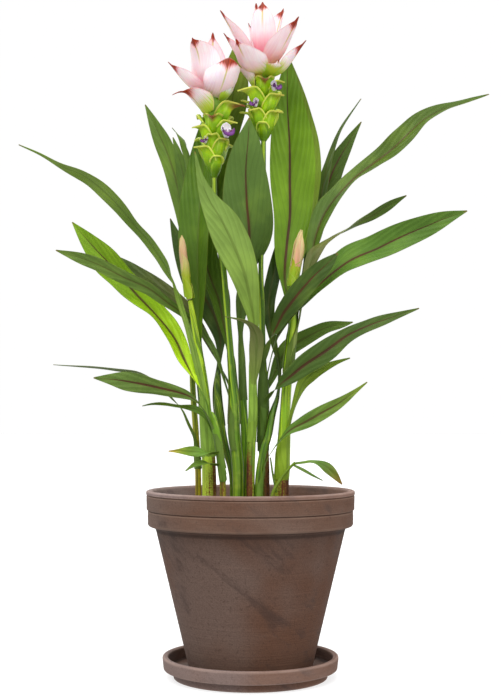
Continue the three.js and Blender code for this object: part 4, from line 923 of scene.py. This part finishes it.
tone = mixed(skin, product(skin, vein_line, 0.14), tone, colour(38, 60, 14))
tone = tint(skin, tone, (160, 186, 90), thread, -0.2, 1.0, 0.0, 0.07)
taper = fade(skin, stored(skin, "share"), 0.5, 0.99, 1.0, 0.15)
rib_width = calc(skin, "MINIMUM", product(skin, width, 0.16), 0.00125)
rib_width = product(skin, rib_width, taper)
beside = calc(skin, "DIVIDE", away, rib_width)
rib = fade(skin, beside, 0.8, 1.15, 1, 0)
seen = product(skin, fade(skin, stored(skin, "share"), 0.04, 0.3), stored(skin, "midrib"))
seen = product(skin, seen, calc(skin, "MULTIPLY_ADD", upper, 0.8, 0.2))
rib_tone = tint(skin, colour(58, 26, 16), (84, 44, 28), patches, 0.3, 0.7)
tone = mixed(skin, product(skin, rib, seen), tone, rib_tone)
plain_rib = product(skin, rib, calc(skin, "SUBTRACT", 1, seen))
tone = mixed(skin, product(skin, plain_rib, 0.4), tone, colour(70, 96, 30))
tone = mixed(skin, product(skin, fade(skin, beside, 1.0, 3.2, 0.25, 0), seen), tone, colour(66, 62, 24))
margin = fade(skin, out, 0.955, 0.995)
tone = mixed(skin, product(skin, margin, 0.5), tone, colour(96, 104, 40))
dry = fade(skin, stored(skin, "share"), 0.982, 0.998)
tone = mixed(skin, product(skin, dry, 0.6), tone, colour(120, 92, 44))
pleats = calc(skin, "MULTIPLY_ADD", vein, 0.5, product(skin, thread, 0.1))
tone = mixed(skin, 1, tone, colour(255, 255, 206), "MULTIPLY")
leaf_finish = finish(
    skin, tone, fade(skin, patches, 0.3, 0.7, 0.56, 0.42), relief(skin, pleats, 0.0003),
    Specular_IOR_Level=0.22)

for number, (name, leaf) in enumerate(leaves.items()):
    gap = 0.35 + 0.25 * (number % 3)
    points, faces, values = leaf_blade(leaf, gap, 100 + number)
    upper = leaf["upper"]
    under = leaf.get("under", [tuple(0.72 * k + low for k, low in zip(tone, (38, 44, 28))) for tone in upper])
    values["midrib"] = np.full(len(points), leaf["midrib"])
    colours = {"tone": tones_along(upper, values["share"]), "tone_under": tones_along(under, values["share"])}
    node = f"leaf_{name}"
    mesh_piece(f"{node}_blade", node, points, faces, leaf_finish, values, colours)


# Sprig: a young shoot from the soil at the right, with a bent blade that has dried at its tip, a narrow blade
# and a withered twig.
def plain_tube(path, radii, count):
    """Round stalk with the values that a leaf carries"""
    middle, tangent, length = curve_through(path, count)
    radius = np.maximum(smooth(radii, np.linspace(0, 1, count)), 0.3)
    points, faces, _ = tube(middle, tangent, radius, sides=11)
    share = np.repeat(np.linspace(0.2, 0.9, count), len(points) // count)
    even = np.ones(len(points))
    values = {"across": 0.001 * even, "along": share * length / metre, "half": 0.004 * even, "share": share}
    return points, faces, {**values, "upper": even}


def plain_blade(path, half_widths, turn, seed):
    """Blade that grows from no sheath"""
    share = np.linspace(0, 1, 26)
    middle, tangent, _ = curve_through(path, len(share))
    half = np.maximum(smooth(half_widths, share), 0.3)
    return blade(middle, tangent, np.radians(smooth(turn, share)), half, share, math.radians(8), seed)


stalk = [(16, -14, 126), (17, -14, 149), (20, -15, 162), (27, -17, 173), (34, -19, 182), (38, -20, 186)]
twig = [(22, -14, 160), (19, -14, 176), (17, -15, 190)]
bent = [(37, -20, 185), (44, -22, 186), (52, -24, 187), (60, -27, 185), (68, -30, 179), (77, -32, 168)]
narrow = [(36, -20, 184), (44, -22, 180), (53, -25, 175), (61, -27, 171)]
shoots = [
    (plain_tube(stalk, [1.8, 1.8, 1.5, 1.3, 1.1], 34), [(150, 160, 70), (96, 130, 46)]),
    (plain_tube(twig, [0.8, 0.9, 0.6], 16), [(90, 120, 44), (78, 100, 40)]),
    (plain_blade(bent, [1, 1.1, 1.6, 2.4, 3.6, 4.4, 3.8, 2.4, 0.5], [0, 60, 0, 0], 71),
     [(86, 118, 44), (90, 124, 48), (80, 112, 44), (110, 120, 50), (130, 80, 40)]),
    (plain_blade(narrow, [1, 1.6, 2, 2, 1.6, 1, 0.5], [50, 60], 72), [(80, 112, 42), (76, 104, 44)]),
]
points, faces, values = joined([part for part, _ in shoots])
values["midrib"] = np.full(len(points), 0.1)
tones = np.vstack([tones_along(shades, part[2]["share"]) for part, shades in shoots])
mesh_piece("sprig_low_right_shoot", "sprig_low_right", points, faces, leaf_finish, values,
           {"tone": tones, "tone_under": tones})


# Spikes: the green lower part of each flower head, cupped waxy bracts in a spiral on a fleshy core.
# Their pale rims roll outward, and some rims have a brown point. The rims also carry a painted highlight, the
# bracts painted glints, and the foot of each bract painted shade.
def pouch(azimuth, rim, body, tip_radius, tip, spread, drop, inside, seed):
    """Bulging pocket on an upright core. rim is the height of the top of its edge, body its own radius and
    spread half the angle that it goes round. Its tip stands out and its edge drops to both sides."""
    rng = np.random.default_rng(seed)
    up = np.append(np.linspace(0, 0.84, 15), np.linspace(0.86, 1, 12))[:, None]
    s = np.linspace(-1, 1, 29)[None, :]
    foot = max(rim - 25, inside[0])
    near = np.clip(1 - abs(s) / 0.42, 0, 1)
    fall = np.clip((abs(s) - 0.3) / 0.7, 0, 1)
    edge_height = rim - (rim - tip) * near ** 1.5 - 1.25 * drop * fall ** 1.5
    edge_radius = inside[1] + (body - inside[1]) * (1 - abs(s) ** 3) + (tip_radius - body) * near ** 1.3
    bulge = 0.8 * np.sin(0.5 * math.pi * np.clip(up / 0.7, 0, 1)) + 0.2 * up ** 6
    rolled = 2.6 * (1 - abs(s) ** 4) * np.clip((up - 0.86) / 0.14, 0, 1) ** 1.7
    wavy = 0.8 * up ** 3 * np.sin(5 * s + rng.uniform(0, 6.28)) * (1 - s ** 2)
    low = 0.4 * inside[1]
    radius = low + (np.minimum(edge_radius, body + 0.3 * (edge_radius - body)) - low) * bulge
    radius = radius + 0.7 * np.maximum(edge_radius - body, 0) * up ** 7 + rolled + wavy
    height = foot + (edge_height - foot) * up - 0.9 * rolled * up ** 12
    angle = math.radians(azimuth) + math.radians(spread) * s
    sheet = np.stack([radius * np.sin(angle), -radius * np.cos(angle), height], axis=-1)
    out = unit(np.cross(np.gradient(sheet, axis=1), np.gradient(sheet, axis=0)))
    points, faces = closed_sheet(sheet + 0.65 * out, sheet - 0.45 * out)
    margin = (1 - up) * (edge_height - foot)
    across = radius * math.radians(spread) * s
    return points, faces, on_both_faces(height.shape, share=up, across=across / metre, margin=margin / metre,
                                        tip_away=np.hypot(margin, across) / metre)


def core(profile, sides=28):
    """Fleshy round core through points of radius and height, with the values of a bract"""
    profile, _ = divided(np.array(profile, float), np.zeros(len(profile)), 1.5)
    points, faces = turned(profile, sides)
    count = len(points)
    values = {
        "share": np.full(count, 0.3), "across": np.arctan2(points[:, 1], points[:, 0]) * 0.006,
        "margin": np.full(count, 0.01), "tip_away": np.full(count, 0.04),
    }
    return points, faces, values


def head_piece(name, node, place, parts, material, traits):
    """Piece made of bodies on one upright axis. traits gives further values for each body."""
    points, faces, values = joined(parts)
    for key, given in traits.items():
        values[key] = np.concatenate([np.full(len(part[0]), value) for part, value in zip(parts, given)])
    mesh_piece(name, node, points + [*place, 0], faces, material, values)


def bract_streaks(tree, across, along):
    """Noise that is drawn out along a bract"""
    place = combined(tree, stored(tree, "across"), stored(tree, "tip_away"))
    return streaked(tree, place, (across, along, 1))


waxy = surface_group("green_bract")
streaks = bract_streaks(waxy, 1300, 90)
glow = mottle(waxy, object_place(waxy), 130, 2)
tone = tint(waxy, colour(140, 188, 0), (180, 218, 0), glow, 0.3, 0.7)
tone = tint(waxy, tone, (96, 148, 6), streaks, 0.25, 0.75, 0.24, 0)
# Painted highlight: pale streaks stand for glints of light on the waxy bracts.
painted_glints = bract_streaks(waxy, 260, 60)
tone = tint(waxy, tone, (200, 226, 90), painted_glints, 0.58, 0.7, 0, 0.6)
rim = fade(waxy, stored(waxy, "margin"), 0.0005, 0.003, 1, 0)
rim = product(waxy, rim, fade(waxy, stored(waxy, "share"), 0.5, 0.75))
# The pale rims are partly the bracts' own colour and partly a painted highlight where the rolled edges catch
# the light.
tone = mixed(waxy, product(waxy, rim, 0.8), tone, colour(236, 246, 110))
point = fade(waxy, stored(waxy, "tip_away"), 0.001, 0.007, 1, 0)
line = fade(waxy, stored(waxy, "margin"), 0.0, 0.0005, 0.45, 0)
point = product(waxy, calc(waxy, "MAXIMUM", point, product(waxy, line, rim)), stored(waxy, "browned"))
tone = mixed(waxy, point, tone, colour(126, 70, 40))
# Painted shade: each pouch is darkened towards its foot, where it tucks under the rims of the ones below, and
# the core darkens with it.
tone = tint(waxy, tone, (84, 126, 4), stored(waxy, "share"), 0.2, 0.8, 0.85, 0)
waxy_finish = finish(
    waxy, tone, fade(waxy, glow, 0.3, 0.7, 0.36, 0.22), relief(waxy, streaks, 0.0005),
    Specular_IOR_Level=0.32, Subsurface_Weight=0.1, Subsurface_Scale=0.002)

heads = {
    "left": {"place": (-31.4, -3), "foot": 431.5, "crown": 499.0},
    "right": {"place": (11.2, 4), "foot": 464.5, "crown": 522.0},
}
# Each green bract is an azimuth, the height of its edge, its radius, the radius and height of its tip, half
# the angle that it spans, how far its edge drops, and how brown the edge is.
green_bracts = {
    "left": [
        (-5, 486, 12, 19, 481.5, 62, 3, 1.0), (62, 497, 13, 28, 492, 66, 12, 1.0),
        (-62, 477, 11, 18, 474.5, 60, 10, 0.3), (58, 481, 12, 21, 478, 52, 8, 0.3),
        (-6, 469, 11, 14, 467.5, 52, 10, 0.2), (40, 465, 11.5, 16, 464, 60, 12, 0.6),
        (-50, 458.5, 11, 20, 457, 72, 14, 0.3), (20, 450, 9, 10, 450, 60, 8, 0.1),
        (125, 487, 13, 17, 486, 62, 10, 0.3), (-130, 489, 13, 18, 487, 62, 10, 0.3),
        (175, 476, 12, 17, 475, 62, 10, 0.3), (110, 462, 11, 16, 461, 60, 10, 0.2),
        (-115, 468, 11, 16, 467, 60, 10, 0.2), (165, 456, 10, 14, 455, 60, 10, 0.2),
        (-160, 498, 13, 16, 497, 60, 10, 0.3),
    ],
    "right": [
        (5, 520, 12, 17, 515, 62, 3, 1.0), (70, 517, 12, 17, 516, 50, 10, 0.4),
        (-52, 511, 13, 25, 506, 68, 12, 0.3), (48, 505, 12.5, 21, 502.5, 64, 12, 0.5),
        (-82, 499, 10, 17.5, 501, 40, 10, 0.2), (-86, 490, 10, 19, 491, 40, 10, 0.2),
        (-38, 492.5, 11.5, 17, 490, 66, 12, 0.3), (46, 490, 11.5, 20, 488.5, 64, 13, 0.4),
        (-5, 480, 9.5, 10.5, 480, 56, 8, 0.1), (120, 510, 13, 17, 509, 62, 10, 0.3),
        (-140, 513, 13, 18, 511, 62, 10, 0.3), (175, 503, 12, 17, 502, 62, 10, 0.3),
        (115, 494, 11, 16, 493, 60, 10, 0.2), (-125, 499, 11, 16, 498, 60, 10, 0.2),
        (165, 487, 10, 14, 486, 60, 10, 0.2),
    ],
}
for side, head in heads.items():
    foot, tall = head["foot"], head["crown"] - head["foot"]
    profile = [(2.2, foot), (4, foot + 0.06 * tall), (5.8, foot + 0.16 * tall), (7.4, foot + 0.4 * tall),
               (8.4, foot + 0.85 * tall), (7, head["crown"] + 1)]
    radii, heights = zip(*profile)
    parts = [core(profile)]
    for k, (*shape, _) in enumerate(green_bracts[side]):
        parts.append(pouch(*shape, (foot, np.interp(shape[1] - 12, heights, radii) - 0.6), k))
    head_piece(f"spike_{side}_bracts", f"spike_{side}", head["place"], parts, waxy_finish,
               {"browned": [0.0, *[row[-1] for row in green_bracts[side]]]})


# Crowns: the pale pink bracts above each spike. They are cupped and silky, deeper pink at the foot, and each
# ends in a dried red-brown point with a yellow-green streak below it.
def bract(azimuth, line, half_width, cup, shape, roll=0.0, ruffle=0.0, keel=0.0, rows=44, seed=0):
    """Cupped bract on an upright axis. Its line is a list of radius and height, its azimuth is from the front
    and cup is the radius that it bends to. shape is where it is widest, how wide its root is, two numbers for
    how its sides close in, the share of its length that is a narrow beak, and how far its tip leans over."""
    widest, root, fullness, bluntness, beak, lean = shape
    angle = math.radians(azimuth)
    outward = np.array([math.sin(angle), -math.cos(angle)])
    middle, tangent, length = curve_through([(*(outward * radius), height) for radius, height in line], rows)
    across = np.tile([-math.cos(angle), -math.sin(angle), 0.0], (rows, 1))
    normal = unit(np.cross(across, tangent))
    share = np.linspace(0, 1, rows)
    rising = root + (1 - root) * np.sin(0.5 * math.pi * np.clip(share / widest, 0, 1))
    closing = np.clip((share - widest) / (1 - beak - widest), 0, 1)
    middle = middle + across * (lean * share ** 2)[:, None]
    half = half_width * rising * (1 - closing ** fullness) ** bluntness
    half = np.maximum(half, 0.3 + 2.2 * np.clip((1 - share) / 0.2, 0, 1) ** 0.6 * np.sign(beak))[:, None]
    s = np.linspace(-1, 1, 19)[None, :]
    bend = s * half / cup
    margin = np.minimum((1 - share)[:, None] * length, (1 - abs(s)) * half)
    rolled = roll * np.clip(1 - margin / 3.6, 0, 1) ** 2 * np.clip((share[:, None] - 0.45) / 0.3, 0, 1)
    phase = np.where(s < 0, *np.random.default_rng(seed).uniform(0, 6.28, 2))
    waved = ruffle * s ** 2 * np.sin(share[:, None] * 8 + phase) * half / half_width
    creased = keel * (np.sqrt((s * half) ** 2 + 0.6) - 0.77) * np.clip((share[:, None] - 0.4) / 0.6, 0, 1)
    points, faces = shell(middle, across, normal, cup * np.sin(bend),
                          cup * (1 - np.cos(bend)) - rolled + waved + creased, 0.17, 0.17)
    return points, faces, on_both_faces(margin.shape, share=share[:, None], across=s * half / metre,
                                        margin=margin / metre, tip_away=(1 - share[:, None]) * length / metre)


petal = surface_group("pink_bract")
streaks = bract_streaks(petal, 1500, 40)
clouds = mottle(petal, object_place(petal), 75, 2)
tone = tint(petal, colour(253, 238, 240), (250, 226, 232), clouds, 0.3, 0.7)
tone = tint(petal, tone, (238, 184, 200), streaks, 0.42, 0.7, 0, 0.42)
flush = product(petal, fade(petal, stored(petal, "share"), 0.1, 0.62, 1, 0), stored(petal, "blush"))
tone = mixed(petal, flush, tone, colour(234, 128, 146))
reached = calc(petal, "SUBTRACT", stored(petal, "green"), stored(petal, "share"))
reached = roughened(petal, reached, streaks, 0.5)
tone = tint(petal, tone, (186, 208, 60), reached, -0.14, 0.16)
tone = tint(petal, tone, (126, 170, 10), reached, 0.1, 0.5, 0, 0.6)
away = calc(petal, "ABSOLUTE", stored(petal, "across"))
depth = calc(petal, "MULTIPLY_ADD", away, 0.85, stored(petal, "tip_away"))
depth = roughened(petal, depth, streaks, 0.011)
size = stored(petal, "tip_size")
near, far = product(petal, size, 1.3), product(petal, size, 2.9)
line = fade(petal, stored(petal, "tip_away"), near, far, 0.8, 0)
line = product(petal, fade(petal, away, 0.0002, 0.0011, 1, 0), line)
tone = mixed(petal, line, tone, colour(196, 190, 84))
# The margins turn a dusky pink: partly the bracts' own colour, partly painted shade along their edges.
tone = tint(petal, tone, (222, 160, 164), stored(petal, "margin"), 0.0002, 0.0013, 0.4, 0)
tone = tint(petal, tone, (206, 76, 64), depth, product(petal, size, 0.8), product(petal, size, 1.2), 0.8, 0)
dried = fade(petal, depth, product(petal, size, 0.7), product(petal, size, 1.0), 1, 0)
dry_tone = tint(petal, colour(92, 14, 6), (168, 62, 16), streaks, 0.3, 0.7)
tone = mixed(petal, dried, tone, dry_tone)
petal_finish = finish(
    petal, tone, fade(petal, clouds, 0.3, 0.7, 0.5, 0.4), relief(petal, streaks, 0.00025),
    Specular_IOR_Level=0.3, Subsurface_Weight=0.25, Subsurface_Scale=0.0025)

# Each pink bract is an azimuth, its line, its half width, the radius that it bends to and its shape, then how
# flushed its foot is, how much of it is green and the length of its dry point.
broad, leaning = (0.5, 0.45, 2.1, 0.8, 0.03, 0), (0.5, 0.42, 2.4, 0.62, 0, -8)
long, beaked = (0.42, 0.45, 1.5, 0.95, 0.05, 0), (0.32, 0.6, 1.5, 1.0, 0.2, 0)
pink_bracts = {
    "left": [
        (20, [(4, -2), (18, 7), (24, 20), (22, 29), (17, 32)], 18.5, 18, leaning, 0.35, 0.08, 16),
        (-42, [(3, 3), (15, 18), (20, 35), (27, 47)], 19, 26, broad, 0.4, 0.0, 9),
        (-80, [(4, 1), (22, 10), (40, 30)], 15, 12, long, 0.4, 0.0, 14),
        (-58, [(8, -14), (15, -7), (26, 1), (34, 1), (41, -2)], 16, 13, beaked, 0.1, 0.3, 22),
        (-172, [(3, 4), (10, 28), (10, 60)], 14, 14, long, 0.5, 0.0, 8),
        (-135, [(3, 4), (13, 26), (17, 54)], 13, 14, long, 0.5, 0.0, 6),
        (120, [(3, 4), (13, 20), (16, 38)], 13, 14, long, 0.5, 0.0, 7),
        (62, [(6, -4), (13, 1), (17, 6), (19, 11)], 8, 11, long, 0.5, 0.6, 3),
        (150, [(5, -4), (16, 4), (26, 16), (33, 22)], 15, 14, long, 0.3, 0.3, 8),
        (-150, [(5, -4), (17, 2), (28, 8), (36, 10)], 15, 13, long, 0.2, 0.35, 9),
    ],
    "right": [
        (-5, [(3, 8), (10, 30), (12, 48), (9, 60)], 13.5, 12, broad, 1.0, 0.0, 9),
        (48, [(4, 3), (20, 17), (40, 42)], 15, 15, long, 0.6, 0.0, 13),
        (-62, [(3, 4), (20, 20), (42, 49.5)], 10.5, 11, long, 0.5, 0.0, 9),
        (-80, [(4, 2), (20, 11), (35, 34)], 13, 12, long, 0.4, 0.0, 11),
        (-35, [(5, -4), (21, 2), (33, 12), (41, 21)], 18, 17, long, 0.2, 0.25, 7),
        (34, [(6, -5), (15, 0), (21, 3), (23, 7)], 11, 12, long, 0.3, 0.75, 1.5),
        (76, [(5, -4), (18, 2), (38, 27)], 11, 10, long, 0.2, 0.4, 16),
        (-78, [(9, -12), (13, -6), (19, 1), (22.5, 6)], 10, 10, long, 0.1, 0.3, 3),
        (-155, [(3, 4), (11, 32), (15, 66)], 11, 12, long, 0.6, 0.0, 7),
        (132, [(3, 4), (13, 30), (24, 62)], 13.5, 14, broad, 0.6, 0.0, 11),
        (-112, [(3, 5), (10, 24), (14, 46)], 10, 12, broad, 0.5, 0.0, 8),
        (150, [(5, -4), (16, 3), (28, 14), (36, 20)], 15, 14, long, 0.3, 0.3, 9),
        (-142, [(5, -4), (14, 4), (21, 14), (24, 22)], 13, 12, long, 0.2, 0.35, 8),
    ],
}
for side, head in heads.items():
    base = head["crown"] + 0.3
    parts = [core([(7, base - 0.3), (6.5, base + 6), (4, base + 16), (1, base + 19)])]
    traits = [(0.0, 1.0, 1)]
    for k, (azimuth, line, half_width, cup, shape, blush, green, tip_size) in enumerate(pink_bracts[side]):
        raised = [(radius, base + height) for radius, height in line]
        parts.append(bract(azimuth, raised, half_width, cup, shape, ruffle=0.6, keel=0.35, seed=k))
        traits.append((blush, green, tip_size))
    blush, green, tip_size = zip(*traits)
    head_piece(f"crown_{side}_bracts", f"crown_{side}", head["place"], parts, petal_finish,
               {"blush": blush, "green": green, "tip_size": [size / metre for size in tip_size]})


# Florets: the small true flowers, which open one by one out of the cupped green bracts. Each has a whitish
# hood and a violet lip.
floret = surface_group("floret")
veins = bract_streaks(floret, 2500, 160)
tone = mixed(floret, stored(floret, "violet"), colour(240, 236, 236), colour(112, 50, 128))
rim = fade(floret, stored(floret, "margin"), 0.0002, 0.0014, 0.8, 0)
tone = mixed(floret, product(floret, rim, stored(floret, "violet")), tone, colour(62, 12, 78))
tone = tint(floret, tone, (170, 120, 186), veins, 0.5, 0.8, 0, 0.3)
floret_finish = finish(
    floret, tone, fade(floret, veins, 0.3, 0.7, 0.52, 0.38), relief(floret, veins, 0.0002),
    Specular_IOR_Level=0.35, Subsurface_Weight=0.1, Subsurface_Scale=0.001)

florets = {
    "floret_left_upper": ((-20.5, -16.5, 468.3), 18, 5.2, 0.0),
    "floret_left_lower": ((-38.6, -13, 461.5), -35, 2.6, 0.8),
    "floret_right_upper": ((20.5, -9, 508.5), 40, 3.8, 0.7),
    "floret_right_lower": ((4.3, -8, 494.5), -35, 3.2, 0.5),
}
for name, ((x, y, z), azimuth, size, violet) in florets.items():
    throat = [(0.35, -1), (0.6, -0.5), (0.72, 0), (0.3, 0.1)]
    petals = [
        (0, [(0.2, -0.4), (0.85, -0.35), (1.2, -0.6), (1.3, -0.95)], 1.35, 1.0),
        (55, [(0.2, -0.2), (0.75, 0.1), (1.05, 0.3)], 0.6, violet),
        (-55, [(0.2, -0.2), (0.75, 0.1), (1.05, 0.3)], 0.6, violet),
        (180, [(0.3, -0.3), (0.6, 0.45), (0.4, 1.0), (-0.1, 1.25)], 1.05, violet * 0.3),
    ]
    parts = [core([(radius * size, z + height * size) for radius, height in throat], 20)]
    for turn, line, half_width, _ in petals:
        placed = [(radius * size, z + height * size) for radius, height in line]
        parts.append(bract(azimuth + turn, placed, half_width * size, size, (0.6, 0.4, 2.4, 0.55, 0, 0),
                           roll=0.2 * size, ruffle=0.12 * size, rows=14, seed=turn + 200))
    head_piece(f"{name}_petals", name, (x, y), parts, floret_finish,
               {"violet": [0.3, *[petal[3] for petal in petals]]})


# Buds: two flower heads that are still closed, on the tops of the thick stems. Scales are rolled tightly
# round them, green at the foot and cream to pink at the point.
bud = surface_group("bud_scale")
streaks = bract_streaks(bud, 1400, 60)
tone = tint(bud, stored(bud, "tone", "Color"), (130, 140, 50), streaks, 0.3, 0.7, 0.3, 0)
rim = fade(bud, stored(bud, "margin"), 0.0002, 0.0011, 0.5, 0)
tone = mixed(bud, product(bud, rim, 0.5), tone, colour(206, 196, 110))
bud_finish = finish(
    bud, tone, fade(bud, streaks, 0.3, 0.7, 0.5, 0.36), relief(bud, streaks, 0.0003),
    Specular_IOR_Level=0.35, Subsurface_Weight=0.1, Subsurface_Scale=0.002)

# Each scale is an azimuth, the heights of its foot and point, how far it goes round, and its tones at both.
green, yellow, cream, rose = (146, 180, 26), (164, 178, 12), (222, 194, 142), (222, 150, 128)
rows = 60
buds = {
    "bud_left": {
        "path": [(-52.3, -5.2, 325.8), (-55, -6, 342), (-57.5, -6, 362), (-59.5, -6, 381)],
        "radii": [2.3, 3.1, 3.2, 2.8, 2.3, 0.5], "inside": cream,
        "scales": [(20, 26, 57, 1.9, rose, cream), (-120, 24, 54, 1.8, cream, rose),
                   (-30, 19, 40, 2.4, yellow, cream), (150, 17, 37, 2.4, yellow, yellow),
                   (70, 2, 25, 3.0, green, yellow), (-110, 0.3, 24, 3.0, green, yellow)],
    },
    "bud_right": {
        "path": [(36, -3.1, 336.6), (38.5, -4, 352), (41.5, -5, 370), (44, -5, 386)],
        "radii": [2.7, 4.2, 4.1, 3.6, 2.5, 0.5], "inside": cream,
        "scales": [(-40, 18, 51, 1.9, cream, cream), (80, 18, 50, 1.9, rose, cream),
                   (190, 16, 48, 1.9, cream, cream), (-70, 10, 25, 2.0, yellow, yellow),
                   (50, 8, 23, 2.0, green, yellow), (170, 8, 24, 2.0, green, yellow),
                   (0, 0.3, 15, 2.4, green, yellow), (120, 0.3, 14, 2.4, green, green),
                   (-120, 0.3, 15, 2.4, green, green)],
    },
}
for name, made in buds.items():
    middle, tangent, length = curve_through(made["path"], rows)
    radius = smooth(made["radii"], np.linspace(0, 1, rows))
    heights = np.linspace(0, length, rows)
    inner = np.column_stack([np.maximum(radius[::4] - 0.5, 0.2), heights[::4]])
    parts = [core([*inner, (0.1, length - 0.4)], 22)]
    tones = [tones_along([made["inside"]], np.zeros(len(parts[0][0])))]
    for k, (azimuth, low, high, span, foot_tone, tip_tone) in enumerate(made["scales"]):
        tops = np.linspace(low, min(high, length), 6)
        line = [(max(np.interp(h, heights, radius) + 0.15 * (k % 3), 0.15), h) for h in tops]
        widest = max(point[0] for point in line)
        parts.append(bract(azimuth, line, widest * span, widest + 0.2, (0.35, 0.8, 1.5, 0.9, 0, 0),
                           roll=0.25, rows=22, seed=k))
        tones.append(tones_along([foot_tone, tip_tone], parts[-1][2]["share"]))
    points, faces, values = joined(parts)
    place = np.clip(points[:, 2], 0, length)
    across, front = facing(tangent, np.zeros(rows))
    bent = sum(
        np.stack([np.interp(place, heights, vectors[:, k]) for k in range(3)], axis=1) * amount[:, None]
        for vectors, amount in ((middle, np.ones(len(place))), (across, points[:, 0]), (front, -points[:, 1]))
    )
    mesh_piece(f"{name}_scales", name, bent, faces, bud_finish, values, {"tone": np.vstack(tones)})


# Stage: a plain pale floor and backdrop, soft daylight from all sides and a large soft light from the upper
# left. The camera stands level in front and frames the plant as the photograph does.
def flat_finish(name, tone, roughness, glow):
    material = bpy.data.materials.new(name)
    material.use_nodes = True
    shader = material.node_tree.nodes["Principled BSDF"]
    shader.inputs["Base Color"].default_value = tone
    shader.inputs["Roughness"].default_value = roughness
    shader.inputs["Specular IOR Level"].default_value = 0.1
    shader.inputs["Emission Color"].default_value = (1, 1, 1, 1)
    shader.inputs["Emission Strength"].default_value = glow
    return material


bpy.ops.mesh.primitive_circle_add(vertices=96, radius=12, fill_type="NGON", location=(0, 0, -0.0001))
floor = bpy.context.object
floor.name = "floor"
floor.data.materials.append(flat_finish("floor_paint", colour(160, 160, 160), 0.9, 0.72))

bpy.ops.mesh.primitive_uv_sphere_add(segments=64, ring_count=32, radius=12)
backdrop = bpy.context.object
backdrop.name = "backdrop"
backdrop.data.materials.append(flat_finish("backdrop_paper", colour(0, 0, 0), 1, 1))
backdrop.visible_transmission = False
backdrop.visible_shadow = False
for surface in (floor, backdrop):
    surface.visible_diffuse = False
    surface.visible_glossy = False

world = bpy.data.worlds.new("studio")
world.use_nodes = True
sky = world.node_tree
above = sky.nodes.new("ShaderNodeSeparateXYZ")
sky.links.new(sky.nodes.new("ShaderNodeTexCoord").outputs["Generated"], above.inputs[0])
sky.links.new(fade(sky, above.outputs["Z"], -0.6, 0.6, 0.78, 0.8), sky.nodes["Background"].inputs["Color"])
bpy.context.scene.world = world
bpy.context.scene.view_settings.view_transform = "Standard"

lamps = {"key": (2.1, 50, -20, 52), "fill": (0.8, 60, 55, 30), "back": (1.1, 60, 200, 40)}
for name, (strength, spread, azimuth, elevation) in lamps.items():
    light = bpy.data.lights.new(name, "SUN")
    light.energy = strength
    light.angle = math.radians(spread)
    lamp = bpy.data.objects.new(name, light)
    lamp.rotation_euler = (math.radians(90 - elevation), 0, math.radians(azimuth))
    bpy.context.collection.objects.link(lamp)

camera = bpy.data.objects.new("camera", bpy.data.cameras.new("camera"))
camera.data.lens = 66.86
camera.data.shift_y = 0.0886
camera.location = (0, -1.1254, 0.2289)
camera.rotation_euler = (math.radians(90), 0, 0)
bpy.context.collection.objects.link(camera)
bpy.context.scene.camera = camera
